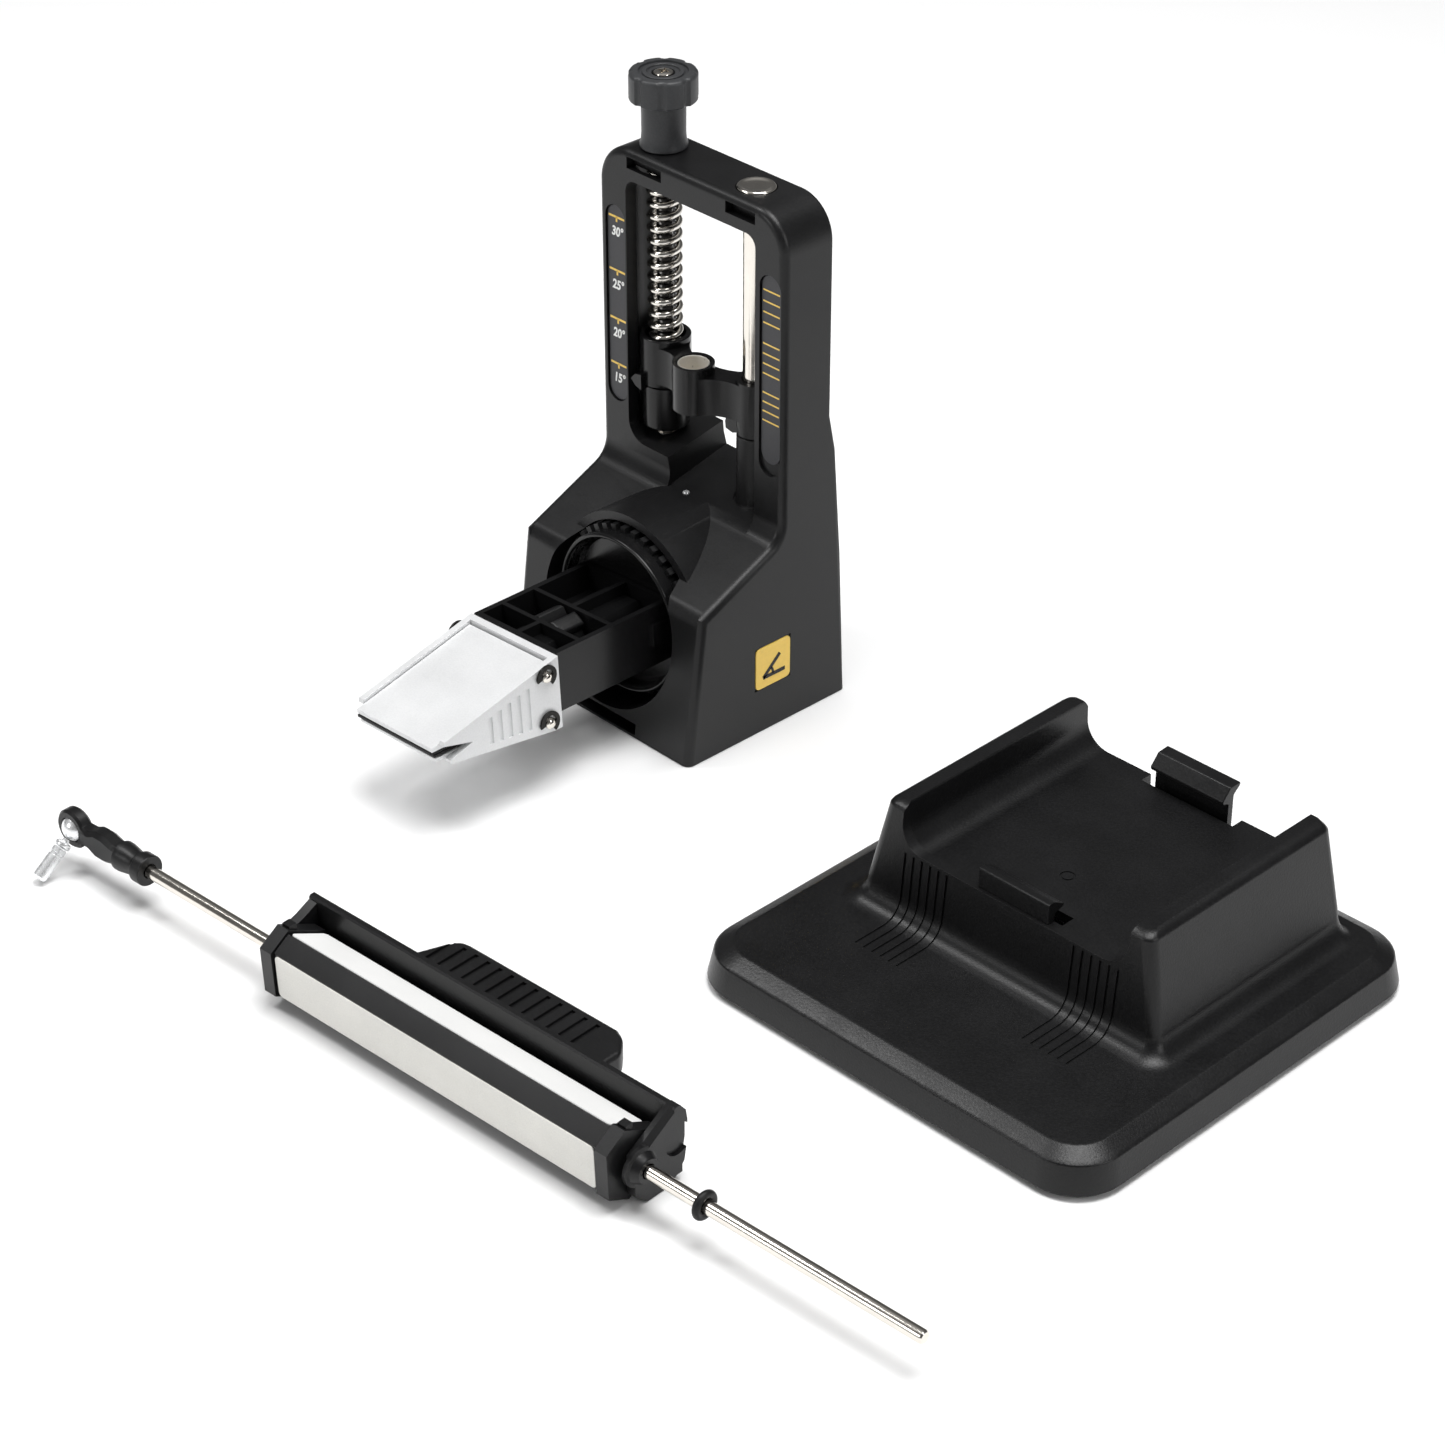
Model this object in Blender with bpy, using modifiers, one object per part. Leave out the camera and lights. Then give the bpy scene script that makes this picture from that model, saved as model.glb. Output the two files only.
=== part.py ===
"""Honing guide: clamp tower, cradle stand and guide rod with a three-sided abrasive.

Sizes are in millimetres and are scaled to metres as each mesh is made.
The origin is the centre of the tower's foot, +Z is up and the clamp points along -Y.
"""

import math

import bmesh
import bpy
from mathutils import Matrix, Vector

MM = 0.001
GAP = 0.3  # clearance between solids that touch or run in each other

# Tower
TOWER_WIDTH = 81.0
TOWER_HEIGHT = 171.0
FOOT_FRONT = -34.0
FOOT_BACK = 34.0
FOOT_FLOOR = 4.0
SHOULDER_SETBACK = 6.2
SHOULDER_HEIGHT = 49.8
COLUMN_FRONT = 5.5
COLUMN_BACK = 26.0
SLOPE_TOP = 65.0
POST_WIDTH = 12.3
TOP_BAR = 5.5
TOP_CORNER_RADIUS = 13.0
EDGE_RADIUS = 3.0
COLUMN_MID = (COLUMN_FRONT + COLUMN_BACK) / 2
WINDOW_HALF = TOWER_WIDTH / 2 - POST_WIDTH
WINDOW_TOP = TOWER_HEIGHT - TOP_BAR
WINDOW_SILL = SLOPE_TOP  # at its front edge
SILL_RISE = 0.19  # rise per mm towards the back
BEARING_SILL = WINDOW_SILL + 8.2
BEARING_WIDTH = 19.2
HOOK_SLOT = {"half": 16.0, "height": 4.0, "depth": 8.0}
SCALE_PLATE = {"width": 8.2, "recess": 1.0, "thick": 0.6, "low": 85.0, "high": 151.0}
BADGE = {"side": 14.6, "thick": 0.6, "y": 2.0, "z": 22.9, "recess": 0.5}

# Angle screw, spring, guide and carriage
SCREW_X = -(WINDOW_HALF - 6.2)
GUIDE_X = WINDOW_HALF - 10.2
LEAD_RADIUS = 2.5
GUIDE_RADIUS = 4.0
GUIDE_BOSS_RADIUS = 5.8
GUIDE_BOSS_TOP = 89.4
GUIDE_FOOT = SLOPE_TOP + 5.0
KNOB = {"neck": 6.85, "neck_height": 15.0, "head": 10.5, "head_height": 9.0, "lobes": 8}
SPRING = {"outer": 5.6, "wire": 1.1, "pitch": 4.1}
SCREW_SEAT = BEARING_SILL + 1.8
WASHER = {"radius": 3.8, "height": 2.0}
CARRIAGE_LOW = SCREW_SEAT + WASHER["height"] + 1.0
SLEEVE_RADIUS = 7.45
CUP_RADIUS = 8.0
CUP_HEIGHT = 16.2
CARRIAGE_HEIGHT = 31.2
CARRIAGE_TRAVEL = 50.0
SOCKET = {"radius": 6.5, "bore": 4.5, "height": 15.3, "y": 7.0}
POINTER_HEIGHT = 94.5
NUT_HEIGHT = 4.0

# Clamp, measured from its own axis; y keeps the tower's zero
CLAMP_HEIGHT = 34.3
CLAMP_ROLL = -3.5  # degrees, the drum's resting click position
HOUSING_BORE = 28.9
HUMP_RADIUS = 31.7
HUMP_FRONT = -19.5
DRUM_FRONT = -26.0
DRUM_FLOOR = -20.0
DRUM_WALL = 3.8
DRUM_BACK = 8.5
SPINDLE_RADIUS = 8.0
SPINDLE_BACK = 17.0
ARM_HALF_WIDTH = 19.0
ARM_HALF_HEIGHT = 10.0
ARM_WALL = 2.2
ARM_LENGTH = 46.4
CLAMP_SCREW_RADIUS = 2.1
THUMBWHEEL = {"radius": 10.5, "width": 10.0, "lobes": 6, "setback": 29.7}

# Jaws, in the clamp's frame
JAW_REAR = DRUM_FLOOR - GAP - ARM_LENGTH - GAP
CHEEK_LENGTH = 45.0
CHEEK_THICK = 2.2
CHEEK_TOP = 9.7
CHEEK_BOTTOM = -14.7
JAW_HALF_WIDTH = 17.5
JAW_REACH = 48.0
MOUTH_HEIGHT = -5.25
NOSE_RISE = 4.4
NOSE_DROP = 3.75
PAD_THICK = 0.7
JAW_TAIL = 2.8
LOWER_TAIL = -7.3
JAW_PIN = {"radius": 1.5, "setback": 5.3, "upper": 5.0, "lower": -10.8}

# Stand
STAND_PLACE = (190.0, -33.0)
STAND_TURN = 1.2  # degrees
STAND_HALF = 73.5
STAND_CORNER = 16.0
SKIRT_TOP = 10.5
PLATEAU = 13.0
PLATEAU_HALF = 66.5
WALL = 3.0
PEDESTAL_FRONT = -19.0
PEDESTAL_BACK = 59.5
CRADLE_FLOOR = 33.5
CRADLE_DEPTH = 15.0
CRADLE_HALF = TOWER_WIDTH / 2 + 0.5
RAIL_WALL = 7.0
PEDESTAL_HALF = CRADLE_HALF + RAIL_WALL
PEDESTAL_TOP = CRADLE_FLOOR + CRADLE_DEPTH
FOOT = {"radius": 6.0, "height": 2.2, "place": 56.0}
LATCH = {"half": 13.3, "thick": 2.5, "foot": 22.5, "height": 21.5, "slot": 3.4}
HOOK_HALF = 12.8

# Guide rod, in its own frame: x runs along the rod from the rod end's collar
ROD_PLACE = (-12.9, -196.0, 12.6)
ROD_TURN = 3.7  # degrees
ROD_RADIUS = 2.0
ROD_LENGTH = 292.0
EYE_SETBACK = 33.5
EYE_RADIUS = 6.2
EYE_THICK = 4.4
BALL_RADIUS = 4.2
PIN_TILT = -55.2  # degrees about the rod
PIN_RADIUS = 2.2
PIN_LENGTH = 11.0

# Abrasive and handle
CORE_START = 63.9
CORE_LENGTH = 124.2
CORE_ROLL = 2.6  # degrees
PLATE_FACE = 8.5
PLATE_PROUD = 0.4
PLATE_THICK = 0.9
PLATE_WIDTH = 13.0
STRIP_FACE = 10.5
CAP_THICK = 4.5
CAP_FACE = 9.1
CAP_STRIP = 11.0
HANDLE_WALL = 3.2
BAR_FACE = 12.3
BAR_THICK = 2.9
BAR_TOP = 12.0
BAR_BOTTOM = -10.4
SHIELD = {"front": -2.5, "back": 17.2, "bottom": -12.5}
WING = {"start": 86.0, "end": 163.0, "reach": 34.0, "low": -3.5, "high": 4.5, "slant": 8.0}
RING = {"section": 1.15, "radius": ROD_RADIUS + 1.2, "place": 218.5}

AXES = {
    "X": Matrix(((0, 0, 1), (1, 0, 0), (0, 1, 0))),
    "Y": Matrix(((1, 0, 0), (0, 0, 1), (0, -1, 0))),
    "Z": Matrix.Identity(3),
}

FINISHES = {  # colour, roughness, metallic
    "black_plastic": ((0.018, 0.018, 0.019), 0.45, 0.0),
    "gloss_plastic": ((0.010, 0.010, 0.011), 0.22, 0.0),
    "grey_plastic": ((0.045, 0.047, 0.050), 0.40, 0.0),
    "scale_grey": ((0.060, 0.060, 0.066), 0.35, 0.0),
    "yellow_print": ((0.88, 0.62, 0.09), 0.35, 0.0),
    "nickel": ((0.74, 0.72, 0.68), 0.16, 1.0),
    "steel": ((0.62, 0.60, 0.57), 0.22, 1.0),
    "cast_aluminium": ((0.70, 0.71, 0.73), 0.38, 1.0),
    "brass": ((0.72, 0.53, 0.25), 0.30, 1.0),
    "rubber": ((0.015, 0.015, 0.016), 0.80, 0.0),
    "diamond_plate": ((0.66, 0.65, 0.61), 0.48, 0.8),
    "ceramic": ((0.88, 0.88, 0.86), 0.60, 0.0),
}


def clear_scene():
    for obj in list(bpy.data.objects):
        bpy.data.objects.remove(obj, do_unlink=True)


def new_collection(name):
    collection = bpy.data.collections.new(name)
    bpy.context.scene.collection.children.link(collection)
    return collection


clear_scene()
PARTS = new_collection("honing_guide")
CUTTERS = new_collection("cutters")


def new_frame(name, place, axis="Z", degrees=0.0, parent=None):
    """An empty whose axes are those of one group of pieces."""
    frame = bpy.data.objects.new(name, None)
    frame.empty_display_size = 0.01
    PARTS.objects.link(frame)
    frame.matrix_basis = Matrix.Translation(Vector(place) * MM) @ Matrix.Rotation(
        math.radians(degrees), 4, axis
    )
    frame.parent = parent
    return frame


def place_mesh(name, mesh, frame, helper):
    obj = bpy.data.objects.new(name, mesh)
    (CUTTERS if helper else PARTS).objects.link(obj)
    obj.parent = frame
    if helper:
        obj.hide_render = True
        obj.display_type = "WIRE"
    return obj


def from_bmesh(name, bm, frame, helper):
    mesh = bpy.data.meshes.new(name)
    bm.to_mesh(mesh)
    bm.free()
    return place_mesh(name, mesh, frame, helper)


def face_out(bm):
    bmesh.ops.recalc_face_normals(bm, faces=bm.faces)
    if bm.calc_volume(signed=True) < 0:
        bmesh.ops.reverse_faces(bm, faces=bm.faces)


def block(name, frame, low, high, helper=False):
    """A box between two corners."""
    low, high = Vector(low) * MM, Vector(high) * MM
    bm = bmesh.new()
    bmesh.ops.create_cube(bm, size=1.0)
    bmesh.ops.scale(bm, vec=high - low, verts=bm.verts)
    bmesh.ops.translate(bm, vec=(low + high) / 2, verts=bm.verts)
    return from_bmesh(name, bm, frame, helper)


def rod(name, frame, radius, low, high, axis="Z", centre=(0, 0, 0), sides=24, helper=False):
    """A cylinder from low to high along an axis that goes through centre."""
    bm = bmesh.new()
    bmesh.ops.create_cone(
        bm, cap_ends=True, segments=sides, radius1=radius * MM, radius2=radius * MM, depth=(high - low) * MM
    )
    bmesh.ops.translate(bm, vec=(0, 0, (low + high) / 2 * MM), verts=bm.verts)
    bm.transform(Matrix.Translation(Vector(centre) * MM) @ AXES[axis].to_4x4())
    return from_bmesh(name, bm, frame, helper)


def prism(name, frame, outline, low, high, axis="Z", helper=False):
    """A flat outline made solid: (y, z) along X, (x, z) along Y or (x, y) along Z."""
    flip = -1 if axis == "Y" else 1
    curve = bpy.data.curves.new(name, "CURVE")
    curve.dimensions = "2D"
    curve.fill_mode = "BOTH"
    curve.extrude = (high - low) / 2 * MM
    spline = curve.splines.new("POLY")
    spline.points.add(len(outline) - 1)
    for point, (u, v) in zip(spline.points, outline):
        point.co = (u * MM, v * flip * MM, 0, 1)
    spline.use_cyclic_u = True
    guide = bpy.data.objects.new(name, curve)
    CUTTERS.objects.link(guide)
    graph = bpy.context.evaluated_depsgraph_get()
    mesh = bpy.data.meshes.new_from_object(guide.evaluated_get(graph))
    mesh.name = name
    bpy.data.objects.remove(guide)
    bm = bmesh.new()
    bm.from_mesh(mesh)
    bmesh.ops.remove_doubles(bm, verts=bm.verts, dist=1e-6)
    bmesh.ops.translate(bm, vec=(0, 0, (low + high) / 2 * MM), verts=bm.verts)
    bm.transform(AXES[axis].to_4x4())
    face_out(bm)
    bm.to_mesh(mesh)
    bm.free()
    return place_mesh(name, mesh, frame, helper)


def turned(name, frame, profile, axis="Z", centre=(0, 0, 0), steps=24, closed=False, helper=False):
    """A profile of (radius, height), top to bottom on its outer side, turned about an axis."""
    bm = bmesh.new()
    points = [bm.verts.new((radius * MM, 0, height * MM)) for radius, height in profile]
    for first, second in zip(points, points[1:] + points[:1] if closed else points[1:]):
        bm.edges.new((first, second))
    obj = from_bmesh(name, bm, frame, helper)
    obj.matrix_basis = Matrix.Translation(Vector(centre) * MM) @ AXES[axis].to_4x4()
    screw = obj.modifiers.new("turn", "SCREW")
    screw.steps = screw.render_steps = steps
    screw.use_merge_vertices = True
    screw.merge_threshold = 0.00001
    return obj


def arc(centre, radius, start, end, count):
    """Points on an arc between two angles in degrees."""
    steps = [math.radians(start + (end - start) * i / count) for i in range(count + 1)]
    return [(centre[0] + radius * math.cos(a), centre[1] + radius * math.sin(a)) for a in steps]


def boolean(obj, other, operation):
    modifier = obj.modifiers.new(f"{operation.lower()}_{other.name}", "BOOLEAN")
    modifier.operation = operation
    modifier.object = other


def cut(obj, *cutters):
    for cutter in cutters:
        boolean(obj, cutter, "DIFFERENCE")


def join(obj, *extras):
    for extra in extras:
        boolean(obj, extra, "UNION")


def bevel(obj, width, segments=1, angle=40):
    modifier = obj.modifiers.new("bevel", "BEVEL")
    modifier.width = width * MM
    modifier.segments = segments
    modifier.limit_method = "ANGLE"
    modifier.angle_limit = math.radians(angle)


def move_origin(obj, point):
    """Puts the object's origin on its joint's axis and leaves the shape where it is."""
    shift = Matrix.Translation(Vector(point) * MM)
    obj.data.transform(shift.inverted())
    obj.matrix_basis = shift @ obj.matrix_basis


def finish(obj, kind):
    colour, roughness, metallic = FINISHES[kind]
    material = bpy.data.materials.new(f"{obj.name}_{kind}")
    material.use_nodes = True
    shader = material.node_tree.nodes["Principled BSDF"]
    shader.inputs["Base Color"].default_value = (*colour, 1.0)
    shader.inputs["Roughness"].default_value = roughness
    shader.inputs["Metallic"].default_value = metallic
    material.diffuse_color = (*colour, 1.0)
    obj.data.materials.clear()
    obj.data.materials.append(material)
    obj.data.shade_smooth()
    obj.data.set_sharp_from_angle(angle=math.radians(30))
    return obj


def make_housing(tower):
    """The tower's casting, with its window, drum bore, spindle bore and rear pocket."""
    half = TOWER_WIDTH / 2
    side = [
        (FOOT_FRONT, 0),
        (FOOT_FRONT + SHOULDER_SETBACK, SHOULDER_HEIGHT),
        (COLUMN_FRONT, SLOPE_TOP),
        (COLUMN_FRONT, TOWER_HEIGHT),
        (COLUMN_BACK, TOWER_HEIGHT),
        (COLUMN_BACK, SLOPE_TOP + 35),
        (COLUMN_BACK + 2.5, SLOPE_TOP + 23),
        (COLUMN_BACK + 5.5, SHOULDER_HEIGHT),
        (FOOT_BACK, 0),
    ]
    housing = prism("tower_housing", tower, side, -half, half, "X")
    bevel(housing, EDGE_RADIUS, 2, 50)
    crown, inset = TOWER_HEIGHT - TOP_CORNER_RADIUS, half - TOP_CORNER_RADIUS
    for side in (-1, 1):
        round_off = [(side * u, v) for u, v in arc((inset, crown), TOP_CORNER_RADIUS, 0, 90, 5)]
        corner = round_off + [
            (side * inset, TOWER_HEIGHT + 1),
            (side * (half + 1), TOWER_HEIGHT + 1),
            (side * (half + 1), crown),
        ]
        cut(housing, prism(f"crown_{side}", tower, corner, 0, COLUMN_BACK + 2, "Y", True))
    axis = (0, 0, CLAMP_HEIGHT)
    web_back = SPINDLE_BACK - GAP
    join(housing, rod("hump", tower, HUMP_RADIUS, HUMP_FRONT, COLUMN_FRONT + 3, "Y", axis, 32, True))
    cut(
        housing,
        rod("drum_bore", tower, HOUSING_BORE, FOOT_FRONT - 2, DRUM_BACK + GAP, "Y", axis, 40, True),
        rod("spindle_bore", tower, SPINDLE_RADIUS + GAP, DRUM_BACK - 1, web_back + 1, "Y", axis, 32, True),
        block(
            "rear_pocket", tower, (3 - half, web_back, FOOT_FLOOR + 1), (half - 3, FOOT_BACK + 2, 60), True
        ),
        block(
            "hook_slot",
            tower,
            (-HOOK_SLOT["half"], FOOT_FRONT - 2, -1),
            (HOOK_SLOT["half"], FOOT_FRONT + HOOK_SLOT["depth"], HOOK_SLOT["height"]),
            True,
        ),
        prism("window", tower, window_outline(), COLUMN_FRONT - 12, COLUMN_BACK + 8, "Y", True),
        sill_cutter("bearing_sill", tower, BEARING_SILL, -WINDOW_HALF, BEARING_WIDTH - WINDOW_HALF),
        sill_cutter("low_sill", tower, WINDOW_SILL, BEARING_WIDTH - WINDOW_HALF - 0.1, WINDOW_HALF),
        rod(
            "cup_channel",
            tower,
            CUP_RADIUS + 2 * GAP,
            SCREW_SEAT + 2,
            WINDOW_TOP,
            "Z",
            (SCREW_X, COLUMN_MID, 0),
            24,
            True,
        ),
        rod(
            "washer_seat",
            tower,
            WASHER["radius"] + 2 * GAP,
            SCREW_SEAT,
            SCREW_SEAT + 6,
            "Z",
            (SCREW_X, COLUMN_MID, 0),
            24,
            True,
        ),
    )
    boss = rod(
        "guide_boss",
        tower,
        GUIDE_BOSS_RADIUS,
        WINDOW_SILL - 1,
        GUIDE_BOSS_TOP,
        "Z",
        (GUIDE_X, COLUMN_MID, 0),
        20,
        True,
    )
    join(housing, boss)
    cut(
        housing,
        rod(
            "lead_hole",
            tower,
            LEAD_RADIUS + GAP,
            SCREW_SEAT - 6.5,
            TOWER_HEIGHT + 1,
            "Z",
            (SCREW_X, COLUMN_MID, 0),
            20,
            True,
        ),
        rod(
            "guide_hole",
            tower,
            GUIDE_RADIUS + GAP,
            GUIDE_FOOT,
            TOWER_HEIGHT + 1,
            "Z",
            (GUIDE_X, COLUMN_MID, 0),
            20,
            True,
        ),
        rod(
            "cap_hole",
            tower,
            6.3,
            TOWER_HEIGHT - 2.5,
            TOWER_HEIGHT + 1,
            "Z",
            (GUIDE_X, COLUMN_MID, 0),
            24,
            True,
        ),
    )
    for name, x in scale_places():
        outline = stadium(
            x, SCALE_PLATE["width"] / 2 + GAP, SCALE_PLATE["low"] - GAP, SCALE_PLATE["high"] + GAP
        )
        recess = prism(
            f"{name}_recess",
            tower,
            outline,
            COLUMN_FRONT - 3,
            COLUMN_FRONT + SCALE_PLATE["recess"],
            "Y",
            True,
        )
        cut(housing, recess)
    side_half = BADGE["side"] / 2 + GAP
    cut(
        housing,
        block(
            "badge_recess",
            tower,
            (half - BADGE["recess"], BADGE["y"] - side_half, BADGE["z"] - side_half),
            (half + 1, BADGE["y"] + side_half, BADGE["z"] + side_half),
            True,
        ),
    )
    finish(housing, "black_plastic")


def window_outline():
    """The window's outline above both sills."""
    w, top, low = WINDOW_HALF, WINDOW_TOP, BEARING_SILL + 8
    return [(-w, low), (w, low)] + arc((w - 3, top - 3), 3, 0, 90, 2) + arc((3 - w, top - 3), 3, 90, 180, 2)


def sill_cutter(name, tower, height, low, high):
    """Clears the window down to a sill that rises from height at the front towards the back."""
    front, back = COLUMN_FRONT - 0.4, COLUMN_BACK + 8
    top = BEARING_SILL + 10
    outline = [(front, height), (back, height + SILL_RISE * (back - front)), (back, top), (front, top)]
    return prism(name, tower, outline, low, high, "X", True)


def scale_places():
    edge = TOWER_WIDTH / 2
    return (("left_scale", -edge + 7.4), ("right_scale", edge - 6.0))


def stadium(x, half, low, high):
    return arc((x, high - half), half, 0, 180, 6) + arc((x, low + half), half, 180, 360, 6)


def make_trim(tower):
    """Scale inlays, side badge, rear cover and its screws."""
    for name, x in scale_places():
        low = COLUMN_FRONT + SCALE_PLATE["recess"] - GAP - SCALE_PLATE["thick"]
        outline = stadium(x, SCALE_PLATE["width"] / 2, SCALE_PLATE["low"], SCALE_PLATE["high"])
        plate = prism(name, tower, outline, low, low + SCALE_PLATE["thick"], "Y")
        finish(plate, "scale_grey")
    face = TOWER_WIDTH / 2 - BADGE["recess"] + GAP
    half = BADGE["side"] / 2
    badge = block(
        "side_badge",
        tower,
        (face, BADGE["y"] - half, BADGE["z"] - half),
        (face + BADGE["thick"], BADGE["y"] + half, BADGE["z"] + half),
    )
    bevel(badge, 0.25)
    finish(badge, "yellow_print")
    side = TOWER_WIDTH / 2 - 3 - GAP
    low, high = FOOT_FLOOR + 1 + GAP, 60 - GAP
    front, back = COLUMN_BACK + 1.5, COLUMN_BACK + 4
    cover = block("rear_cover", tower, (-side, front, low), (side, back, high))
    for index, (x, z) in enumerate(((-1, 0), (1, 0), (-1, 1), (1, 1)), 1):
        centre = (x * (side - 6), 0, high - 6 if z else low + 6)
        hole = rod(f"cover_hole_{index}", tower, 1.9, front - 1, back + 1, "Y", centre, 16, True)
        sink = rod(f"cover_sink_{index}", tower, 3.6, back - 1.2, back + 1, "Y", centre, 16, True)
        cut(cover, hole, sink)
        screw = turned(
            f"cover_screw_{index}",
            tower,
            [
                (0, back + 0.2),
                (2.4, back + 0.2),
                (3.1, back - 0.4),
                (3.1, back - 0.9),
                (1.5, back - 0.9),
                (1.5, front - 6),
                (0, front - 6),
            ],
            "Y",
            centre,
            12,
        )
        finish(screw, "steel")
    finish(cover, "black_plastic")


def make_angle_screw(tower):
    """The knob, its screw, the lead screw and its foot washer, on one upright axis."""
    centre = (SCREW_X, COLUMN_MID, 0)
    seat = TOWER_HEIGHT + GAP
    head = seat + KNOB["neck_height"]
    top = head + KNOB["head_height"]
    screw_top = top - 6.5
    knob = turned(
        "angle_knob",
        tower,
        [
            (0, head + 1),
            (KNOB["neck"], head + 1),
            (KNOB["neck"], seat + 1),
            (KNOB["neck"] + 0.5, seat),
            (0, seat),
        ],
        "Z",
        centre,
        24,
    )
    lobed = [(r * math.cos(a), r * math.sin(a)) for r, a in lobe_points(KNOB["head"], 1.0, KNOB["lobes"])]
    outline = [(SCREW_X + u, COLUMN_MID + v) for u, v in lobed]
    join(knob, prism("knob_head", tower, outline, head, top, "Z", True))
    cut(
        knob,
        rod("knob_bore", tower, LEAD_RADIUS + GAP, seat - 1, screw_top + GAP, "Z", centre, 20, True),
        rod("knob_recess", tower, 3.6, top - 1.5, top + 1, "Z", centre, 20, True),
        rod("knob_screw_hole", tower, 1.8, screw_top, top, "Z", centre, 16, True),
    )
    finish(knob, "grey_plastic")
    cap = turned(
        "knob_screw",
        tower,
        [
            (0, top + 0.2),
            (2.4, top + 0.2),
            (3.2, top - 0.5),
            (3.2, top - 1.2),
            (1.5, top - 1.2),
            (1.5, screw_top + 2 * GAP),
            (0, screw_top + 2 * GAP),
        ],
        "Z",
        centre,
        16,
    )
    finish(cap, "nickel")
    lead = turned(
        "lead_screw",
        tower,
        [
            (0, screw_top),
            (LEAD_RADIUS, screw_top),
            (LEAD_RADIUS, SCREW_SEAT - 5),
            (LEAD_RADIUS - 1, SCREW_SEAT - 6),
            (0, SCREW_SEAT - 6),
        ],
        "Z",
        centre,
        20,
    )
    finish(lead, "steel")
    inner, wide = LEAD_RADIUS + GAP, WASHER["radius"]
    low, high = SCREW_SEAT + GAP, SCREW_SEAT + WASHER["height"]
    washer = turned(
        "foot_washer",
        tower,
        [(wide, high), (wide, low), (inner, low), (inner, high)],
        "Z",
        centre,
        20,
        True,
    )
    finish(washer, "nickel")


def lobe_points(radius, depth, lobes):
    """A wheel's rim as (radius, angle): a broad lobe, then a shallow notch, round and round."""
    points = []
    pitch = 2 * math.pi / lobes
    for index in range(lobes):
        start = index * pitch
        points += [(radius, start - pitch * 0.28), (radius, start), (radius, start + pitch * 0.28)]
        points += [(radius - depth, start + pitch * 0.42), (radius - depth, start + pitch * 0.58)]
    return points


def make_spring(tower):
    """A coil from the carriage nut up to the top bar, as a many-sided wire."""
    low = CARRIAGE_LOW + NUT_HEIGHT + 1 + 2 * GAP + SPRING["wire"]
    high = WINDOW_TOP - GAP - SPRING["wire"]
    turns = (high - low) / SPRING["pitch"]
    radius = SPRING["outer"] - SPRING["wire"]
    per_turn = 8
    count = round(turns * per_turn)
    curve = bpy.data.curves.new("lift_spring", "CURVE")
    curve.dimensions = "3D"
    curve.bevel_depth = SPRING["wire"] * MM
    curve.bevel_resolution = 0
    curve.use_fill_caps = True
    spline = curve.splines.new("POLY")
    spline.points.add(count)
    for index, point in enumerate(spline.points):
        angle = 2 * math.pi * turns * index / count
        place = (radius * math.cos(angle), radius * math.sin(angle), low + (high - low) * index / count)
        point.co = (place[0] * MM, place[1] * MM, place[2] * MM, 1)
    coil = bpy.data.objects.new("lift_spring", curve)
    PARTS.objects.link(coil)
    coil.parent = tower
    coil.location = (SCREW_X * MM, COLUMN_MID * MM, 0)
    material_host = finish_curve(coil, "nickel")
    return material_host


def finish_curve(obj, kind):
    colour, roughness, metallic = FINISHES[kind]
    material = bpy.data.materials.new(f"{obj.name}_{kind}")
    material.use_nodes = True
    shader = material.node_tree.nodes["Principled BSDF"]
    shader.inputs["Base Color"].default_value = (*colour, 1.0)
    shader.inputs["Roughness"].default_value = roughness
    shader.inputs["Metallic"].default_value = metallic
    obj.data.materials.append(material)
    return obj


def make_guide(tower):
    """The bright guide rod and the socket screw that holds its top."""
    centre = (GUIDE_X, COLUMN_MID, 0)
    high = TOWER_HEIGHT - 2.5 - GAP
    finish(rod("guide_rod", tower, GUIDE_RADIUS, GUIDE_FOOT + GAP, high, "Z", centre, 20), "nickel")
    cap = rod("guide_cap", tower, 6.0, TOWER_HEIGHT - 2.5 + GAP, TOWER_HEIGHT + 0.6, "Z", centre, 24)
    bevel(cap, 0.5, 1, 60)
    cut(cap, rod("cap_hex", tower, 3.6, TOWER_HEIGHT - 1.2, TOWER_HEIGHT + 2, "Z", centre, 6, True))
    finish(cap, "nickel")


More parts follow.
